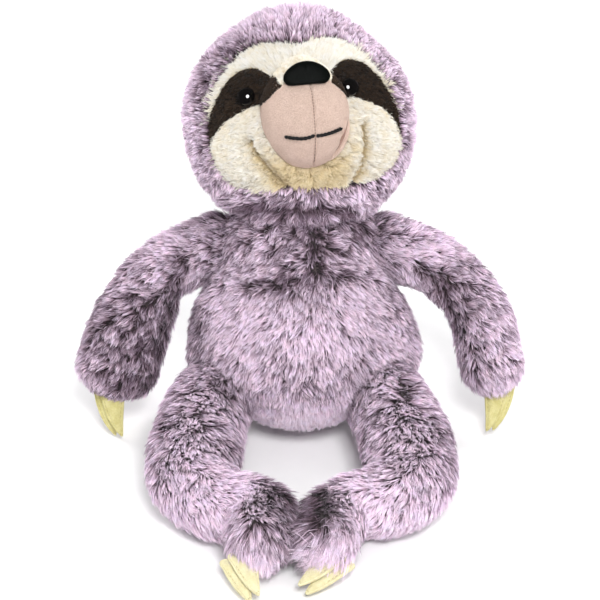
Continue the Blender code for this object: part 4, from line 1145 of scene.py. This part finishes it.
def make_muzzle():
    rows, columns = 120, 170
    polar = np.linspace(0.01, math.pi - 0.01, rows)[:, None]
    a = np.arange(columns)[None] / columns * TURN
    x, y, z = np.sin(polar) * np.cos(a), np.sin(polar) * np.sin(a), np.cos(polar) + 0 * a
    grid = egg(x, y, z)
    front = step(0.1, -0.3, y)
    seam = bump(grid[..., 0] - 1.2, 0.7) * front * step(24, 18, grid[..., 2])
    strip, _ = segment_gap(grid[..., (0, 2)].reshape(-1, 2), ((14, -34), (20, -24), (24, -8)))
    strip = strip.reshape(x.shape)
    normal, _ = grid_normals(grid)
    depth = 0.35 * lumps(grid, 14, 8) - 1.2 * seam - 1.6 * bump(strip, 1.2) * front
    grid = grid + normal * depth[..., None]
    keep(skin_object("muzzle_velour", muzzle_world(grid), VELOUR), "head", "peach_velour", "muzzle_skin", fill=0.9)
    root, normal, _ = scatter(grid, SHORT.density, 440)
    normal = np.where(((normal * root).sum(1) < 0)[:, None], -normal, normal)
    x, z = root[:, 0], root[:, 2]
    nose = np.hypot(x / (NOSE[0] * 0.9), (z - NOSE_HEIGHT) / (NOSE[2] * 0.8))
    wanted = (z > 18.0 - 0.8 * np.maximum(np.abs(x) - 14, 0)) & (root[:, 1] < 8) & (nose > 1)
    turn = (HEAD_TURN @ rotation("Z", MUZZLE_YAW)).T
    sides_dark = (np.abs(x) > 15.5 + 0.25 * np.maximum(z - 18, 0)) & (z < 30)
    for name, look, part, tall, light in (("bridge_pile", SHORT, wanted & ~sides_dark, 3.0, 0.72),
                                          ("bridge_patch_pile", PATCH, wanted & sides_dark, 2.2, 0.42)):
        base, out = root[part], normal[part]
        comb = flat_to(out, np.stack([base[:, 0] * 0.05, np.full(len(base), 0.5), np.full(len(base), 0.9)], 1))
        size = np.ones(len(base))
        pile(name, "head", look, muzzle_world(base - out * 0.5), out @ turn, comb @ turn, tall * size, 3.4 * size,
             light + 0.08 * lumps(base, 8, 7), 450, opening=0.3)
    t = np.linspace(0, 1, 50)
    low = np.radians(-12 - 56 * t)
    # The fold's lip is a velour tube; a thin dark brown tube lies along its crease as a painted shadow line.
    for name, forward, swell, thick, finish_used in (("muzzle_fold", -0.12, 0.985, 2.3, VELOUR),
                                                     ("muzzle_fold_painted_shadow", -0.38, 0.98, 0.7, SEAM_THREAD)):
        ring = math.sqrt(1 - forward ** 2) * swell
        path = egg(np.cos(low) * ring, forward + 0 * low, np.sin(low) * ring)
        keep(joined(name, [tube(muzzle_world(path), 0.15 + thick * np.sin(math.pi * t) ** 0.6, 12)], finish_used),
             "head", "peach_velour")
    points = []
    for height in np.arange(-33.0, 14.0, 1.9):
        points.append(((1.2, height), (1.2, height + 1.6)))
    stitches("muzzle_stitches", points, 0.24, SEAM_THREAD, "peach_velour")


def tube(path, radius, sides=8, normal=None):
    """Grid of a round tube along a path, with radii that may vary."""
    way = unit(np.gradient(path, axis=0))
    reference = np.array((0.0, 0.0, 1.0)) if normal is None else normal
    side = unit(np.cross(way, reference))
    other = np.cross(side, way)
    a = np.arange(sides) / sides * TURN
    radius = np.broadcast_to(radius, len(path))[:, None, None]
    return path[:, None] + radius * (side[:, None] * np.cos(a)[:, None] + other[:, None] * np.sin(a)[:, None])


def joined(name, grids, finish):
    """One object from several closed grids."""
    points, loops, sizes, start = [], [], [], 0
    for grid in grids:
        rows, columns = grid.shape[:2]
        quads = grid_faces(rows, columns).reshape(-1, 4) + start
        ring = np.arange(columns) + start
        caps = []
        for row, flip in ((0, True), (rows - 1, False)):
            corners = row * columns + ring
            caps.append(corners[::-1] if flip else corners)
        points.append(grid.reshape(-1, 3))
        loops += [quads.ravel(), *caps]
        sizes += [np.full(len(quads), 4), np.array((columns, columns))]
        start += rows * columns
    return new_object(name, np.vstack(points), np.concatenate(loops), np.concatenate(sizes), finish)


def stitches(name, pairs, radius, finish, slot):
    """Short threads on the front of the muzzle between pairs of points."""
    grids = []
    for a, b in pairs:
        t = np.linspace(0, 1, 7)[:, None]
        flat = np.array(a) * (1 - t) + np.array(b) * t
        path = egg_front(flat[:, 0], flat[:, 1], 0.55 - 0.3 * 1) + 0.0
        sag = radius * np.sqrt(np.maximum(1 - (2 * t[:, 0] - 1) ** 2, 0.04))
        grids.append(tube(muzzle_world(path), sag, 6, HEAD_TURN @ np.array((0.0, -1.0, 0.0))))
    keep(joined(name, grids, finish), "head", slot)


def make_nose():
    rows, columns = 60, 90
    polar = np.linspace(0.01, math.pi - 0.01, rows)[:, None]
    a = np.arange(columns)[None] / columns * TURN
    x, y, z = np.sin(polar) * np.cos(a) * NOSE[0], np.sin(polar) * np.sin(a) * (NOSE[1] + 0.6), np.cos(polar) * NOSE[2] + 0 * a
    low = -NOSE[2] * NOSE_FLAT + 3.4 * (np.abs(x) / NOSE[0]) ** 11
    soft = 0.7
    z = low + soft * np.logaddexp(0, (z - low) / soft)
    x = x * (1 + 0.04 * bump(z, 5.0) - 0.06 * step(3.0, NOSE[2], z))
    y = y - 1.2 * bump(z - low, 5.0) * (y < 0)
    front = step(0.0, -3.0, y)
    y = y + 0.8 * bump(x, 0.8) * front
    seat = egg_front(np.array([0.0]), np.array([NOSE_HEIGHT]))[0]
    keep(skin_object("nose_velour", muzzle_world(np.stack([x, y, z], -1) + seat), NOSE_CLOTH),
         "head", "black_velour", "nose")


MOUTH_BEND = {
    -1: ((0.0, -1.2), (0.12, -2.2), (0.3, -2.8), (0.5, -2.7), (0.75, -1.8), (1.0, -0.4)),
    1: ((0.0, -1.9), (0.2, -1.7), (0.4, -1.2), (0.6, -0.4), (0.8, 0.7), (1.0, 2.0)),
}


def make_mouth():
    for side, sign in SIDES:
        t = np.linspace(0, 1, 120)
        x = 1.2 + sign * (0.3 + (MOUTH_HALF_WIDTH - 0.3) * t)
        z = -MOUTH_DROP + np.interp(t, *np.array(MOUTH_BEND[sign]).T)
        path = egg_front(x, z, -0.55)
        way = unit(np.gradient(path, axis=0))
        out = unit(np.cross(way, (0.0, 0.0, 1.0)))
        up = np.cross(out, way)
        length = np.concatenate([[0], np.cumsum(np.linalg.norm(np.diff(path, axis=0), axis=1))])
        taper = np.sqrt(np.clip(np.minimum(t, 1 - t) * 14, 0.05, 1))
        grids = []
        for start in (0.0, math.pi):
            turn = length / 2.6 * TURN * 0.5 + start
            ply = path + 0.5 * (out * np.cos(turn)[:, None] + up * np.sin(turn)[:, None]) * taper[:, None]
            grids.append(tube(muzzle_world(ply), 0.75 * taper, 8))
        keep(joined(f"mouth_rope_{side}", grids, THREAD), "head", "black_thread", f"mouth_{side}")


# Claws


def make_claw(limb, side, sign, body, place, inward, forward, number, offset):
    square = np.cross(inward, forward)
    origin = place + inward * (-offset * CLAW_SPACING / 2) + square * (-sign * offset * CLAW_STAGGER / 2)
    outline = closed_path([(x * CLAW[0], z * (CLAW[1] if z > 0 else CLAW[2])) for x, z in CLAW_SHARES], 10)
    middle = np.array((0.5, 7.0))
    polar = outline - middle
    angle = np.arctan2(polar[:, 1], polar[:, 0])
    order = np.argsort(angle)
    a = np.arange(120) / 120 * TURN - math.pi
    radius = np.interp(a, angle[order], np.linalg.norm(polar, axis=1)[order], period=TURN)
    share = 1 - np.linspace(1, 0, 34)[:, None] ** 1.6
    flat = middle + (share * radius)[..., None] * np.stack([np.cos(a), np.sin(a)], -1)
    gap = (1 - share) * radius
    if limb == "hand":
        for shape in (flat, outline):
            shape[..., 0] += CLAW_BEND * (np.maximum(shape[..., 1], 0) / CLAW[1]) ** 2
    wavy = 0.12 * np.sin(flat[..., 0] * 1.3) * np.sin(flat[..., 1] * 0.9)
    height = 0.25 + 1.05 * np.sqrt(np.clip(gap / 0.7, 0, 1)) + 0.75 * step(2.0, 5.5, gap) - 0.30 * bump(gap - 1.9, 0.5) + wavy
    grids = []
    for face in (1, -1):
        outer = np.concatenate([flat, (height * face)[..., None]], -1)
        rim = np.concatenate([flat[-1:], np.full((1, 120, 1), 0.12 * face)], -1)
        inner = np.concatenate([middle + (flat[-1:] - middle) * 0.6, np.full((1, 120, 1), 0.12 * face)], -1)
        grids.append(np.concatenate([outer, rim, inner]))
    basis = np.stack([inward, forward, square])
    world = [grid @ basis + origin for grid in grids]
    node = f"{limb}_claw_{side}_{number}"
    keep(joined(f"{node}_felt", world, FELT[limb]), body, "yellow_felt", node)
    inset = outline - 1.9 * unit(np.stack([
        -(np.roll(outline, -1, 0) - np.roll(outline, 1, 0))[:, 1], (np.roll(outline, -1, 0) - np.roll(outline, 1, 0))[:, 0]], 1)
    ) * np.sign(np.cross(outline[1] - outline[0], outline[2] - outline[1]) or 1) * -1
    lengths = np.concatenate([[0], np.cumsum(np.linalg.norm(np.diff(inset, axis=0), axis=1))])
    threads = []
    for start in np.arange(0, lengths[-1] - 2.2, 3.0):
        at = start + np.linspace(0, 2.0, 6)
        p = np.stack([np.interp(at, lengths, inset[:, k]) for k in (0, 1)], 1)
        if p[:, 1].min() < -2:
            continue
        for face in (1, -1):
            path = np.concatenate([p, np.full((6, 1), 1.22 * face)], 1) @ basis + origin
            threads.append(tube(path, 0.2 * np.sqrt(np.maximum(1 - np.linspace(-1, 1, 6) ** 2, 0.1)), 6, square))
    keep(joined(f"{node}_stitches", threads, FELT_THREAD), body, "yellow_felt")


def make_claws():
    for side, sign in SIDES:
        turn = rotation("Z", -sign * FOOT_TURN[sign])
        down = np.array((0.0, -math.sin(HAND_LEAN), -math.cos(HAND_LEAN)))
        ahead = turn @ (0.0, -math.cos(FOOT_DROP), -math.sin(FOOT_DROP))
        inward = np.array((-sign, 0.0, 0.0))
        for limb, body, across, way, cap, aside, low in (
            ("hand", f"arm_{side}", inward, down, ARM_BALL * HAND_CAP, HAND_ASIDE, 0.0),
            ("foot", f"leg_{side}", turn @ inward, ahead, LEG_BALL * FOOT_CAP, FOOT_ASIDE, FOOT_LOW),
        ):
            place = FORMS[body].places[-1] + way * (cap - CLAW_SINK) - across * aside - np.array((0, 0, low))
            for number, offset in (("inner", -1), ("outer", 1)):
                make_claw(limb, side, sign, body, place, across, way, number, offset)


make_face()
make_eyes()
make_muzzle()
make_nose()
make_mouth()
make_claws()

# What stays from the CAD part: the stuffing, the seams inside the joints and the washers
KEPT = {"stuffing": STUFFING, "seam": SEAM, "washer": WASHER}
for node_name, node_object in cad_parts.items():
    for word, finish_kept in KEPT.items():
        if word in node_name:
            for slot_index in range(len(node_object.material_slots)):
                node_object.material_slots[slot_index].material = finish_kept

# Floor, light and camera


def area_light(name, place, target, size, power, tint=(1.0, 1.0, 1.0)):
    data = bpy.data.lights.new(name, "AREA")
    data.shape, data.size, data.energy, data.color = "SQUARE", size, power, tint
    lamp = bpy.data.objects.new(name, data)
    bpy.context.scene.collection.objects.link(lamp)
    way = unit(np.array(place, float) - np.array(target, float))
    side = unit(np.cross((0.0, 0.0, 1.0), way)) if abs(way[2]) < 0.999 else np.array((1.0, 0.0, 0.0))
    turn = np.stack([side, np.cross(way, side), way], 1)
    matrix = np.eye(4)
    matrix[:3, :3], matrix[:3, 3] = turn, place
    lamp.matrix_world = Matrix(matrix.tolist())
    return lamp


def make_stage():
    finish = Finish("pale_floor", 0.9, Specular_IOR_Level=0.1)
    grain = finish.noise(40, 3.0)
    finish.shows(finish.ramp(grain, ((0.3, (0.93, 0.93, 0.93)), (0.7, (0.95, 0.95, 0.95)))), None, grain, 0.05, 0.0002)
    gap = finish.node("VectorMath", [("Vector", finish.object_place())], operation="LENGTH").outputs["Value"]
    far = finish.ramp(finish.math("MULTIPLY", gap, 0.5), ((0.2, 0.0), (0.6, 1.0)))
    seen = finish.math("MULTIPLY", finish.node("LightPath").outputs["Is Camera Ray"], far)
    glow = finish.node("Emission", Strength=1.05)
    fade = finish.node("MixShader", [("Fac", seen)])
    finish.tree.links.new(finish.shader.outputs[0], fade.inputs[1])
    finish.tree.links.new(glow.outputs[0], fade.inputs[2])
    finish.tree.links.new(fade.outputs[0], finish.tree.nodes["Material Output"].inputs["Surface"])
    bpy.ops.mesh.primitive_plane_add(size=12)
    floor = bpy.context.active_object
    floor.name = "floor"
    floor.data.materials.append(finish.material)
    floor.visible_glossy = False
    world = bpy.data.worlds.new("studio")
    bpy.context.scene.world = world
    world.use_nodes = True
    tree = world.node_tree
    tree.nodes.clear()
    path = tree.nodes.new("ShaderNodeLightPath")
    soft, white = tree.nodes.new("ShaderNodeBackground"), tree.nodes.new("ShaderNodeBackground")
    soft.inputs["Strength"].default_value = 0.76
    white.inputs["Strength"].default_value = 1.05
    mix, out = tree.nodes.new("ShaderNodeMixShader"), tree.nodes.new("ShaderNodeOutputWorld")
    dim, dimmed = tree.nodes.new("ShaderNodeBackground"), tree.nodes.new("ShaderNodeMixShader")
    dim.inputs["Strength"].default_value = 0.12
    tree.links.new(path.outputs["Is Glossy Ray"], dimmed.inputs[0])
    tree.links.new(soft.outputs[0], dimmed.inputs[1])
    tree.links.new(dim.outputs[0], dimmed.inputs[2])
    tree.links.new(path.outputs["Is Camera Ray"], mix.inputs[0])
    tree.links.new(dimmed.outputs[0], mix.inputs[1])
    tree.links.new(white.outputs[0], mix.inputs[2])
    tree.links.new(mix.outputs[0], out.inputs[0])
    key = area_light("key", (0.2, -1.2, 1.28), (0, 0, 0.12), 0.5, 23)
    key.visible_glossy = False
    for side, sign in SIDES:
        rim = area_light(f"{side}_rim", (sign * 1.1, 0.6, 0.9), (0, 0, 0.12), 0.8, 10)
        rim.visible_glossy = False
    spark = area_light("eye_spark", (-0.08, -1.2, 1.15), (0, 0, 0.24), 0.9, 125)
    spark.data.shape = "DISK"
    spark.visible_diffuse = False


def make_camera():
    data = bpy.data.cameras.new("camera")
    data.sensor_width = 36
    data.lens = 36 * VIEW_DISTANCE / VIEW_SPAN
    camera = bpy.data.objects.new("camera", data)
    bpy.context.scene.collection.objects.link(camera)
    camera.location = (VIEW_TARGET + BACK_WAY * VIEW_DISTANCE) * MM
    camera.rotation_euler = (math.pi / 2 - VIEW_ELEVATION, 0, 0)
    bpy.context.scene.camera = camera
    bpy.context.scene.view_settings.view_transform = "Standard"


make_stage()
make_camera()
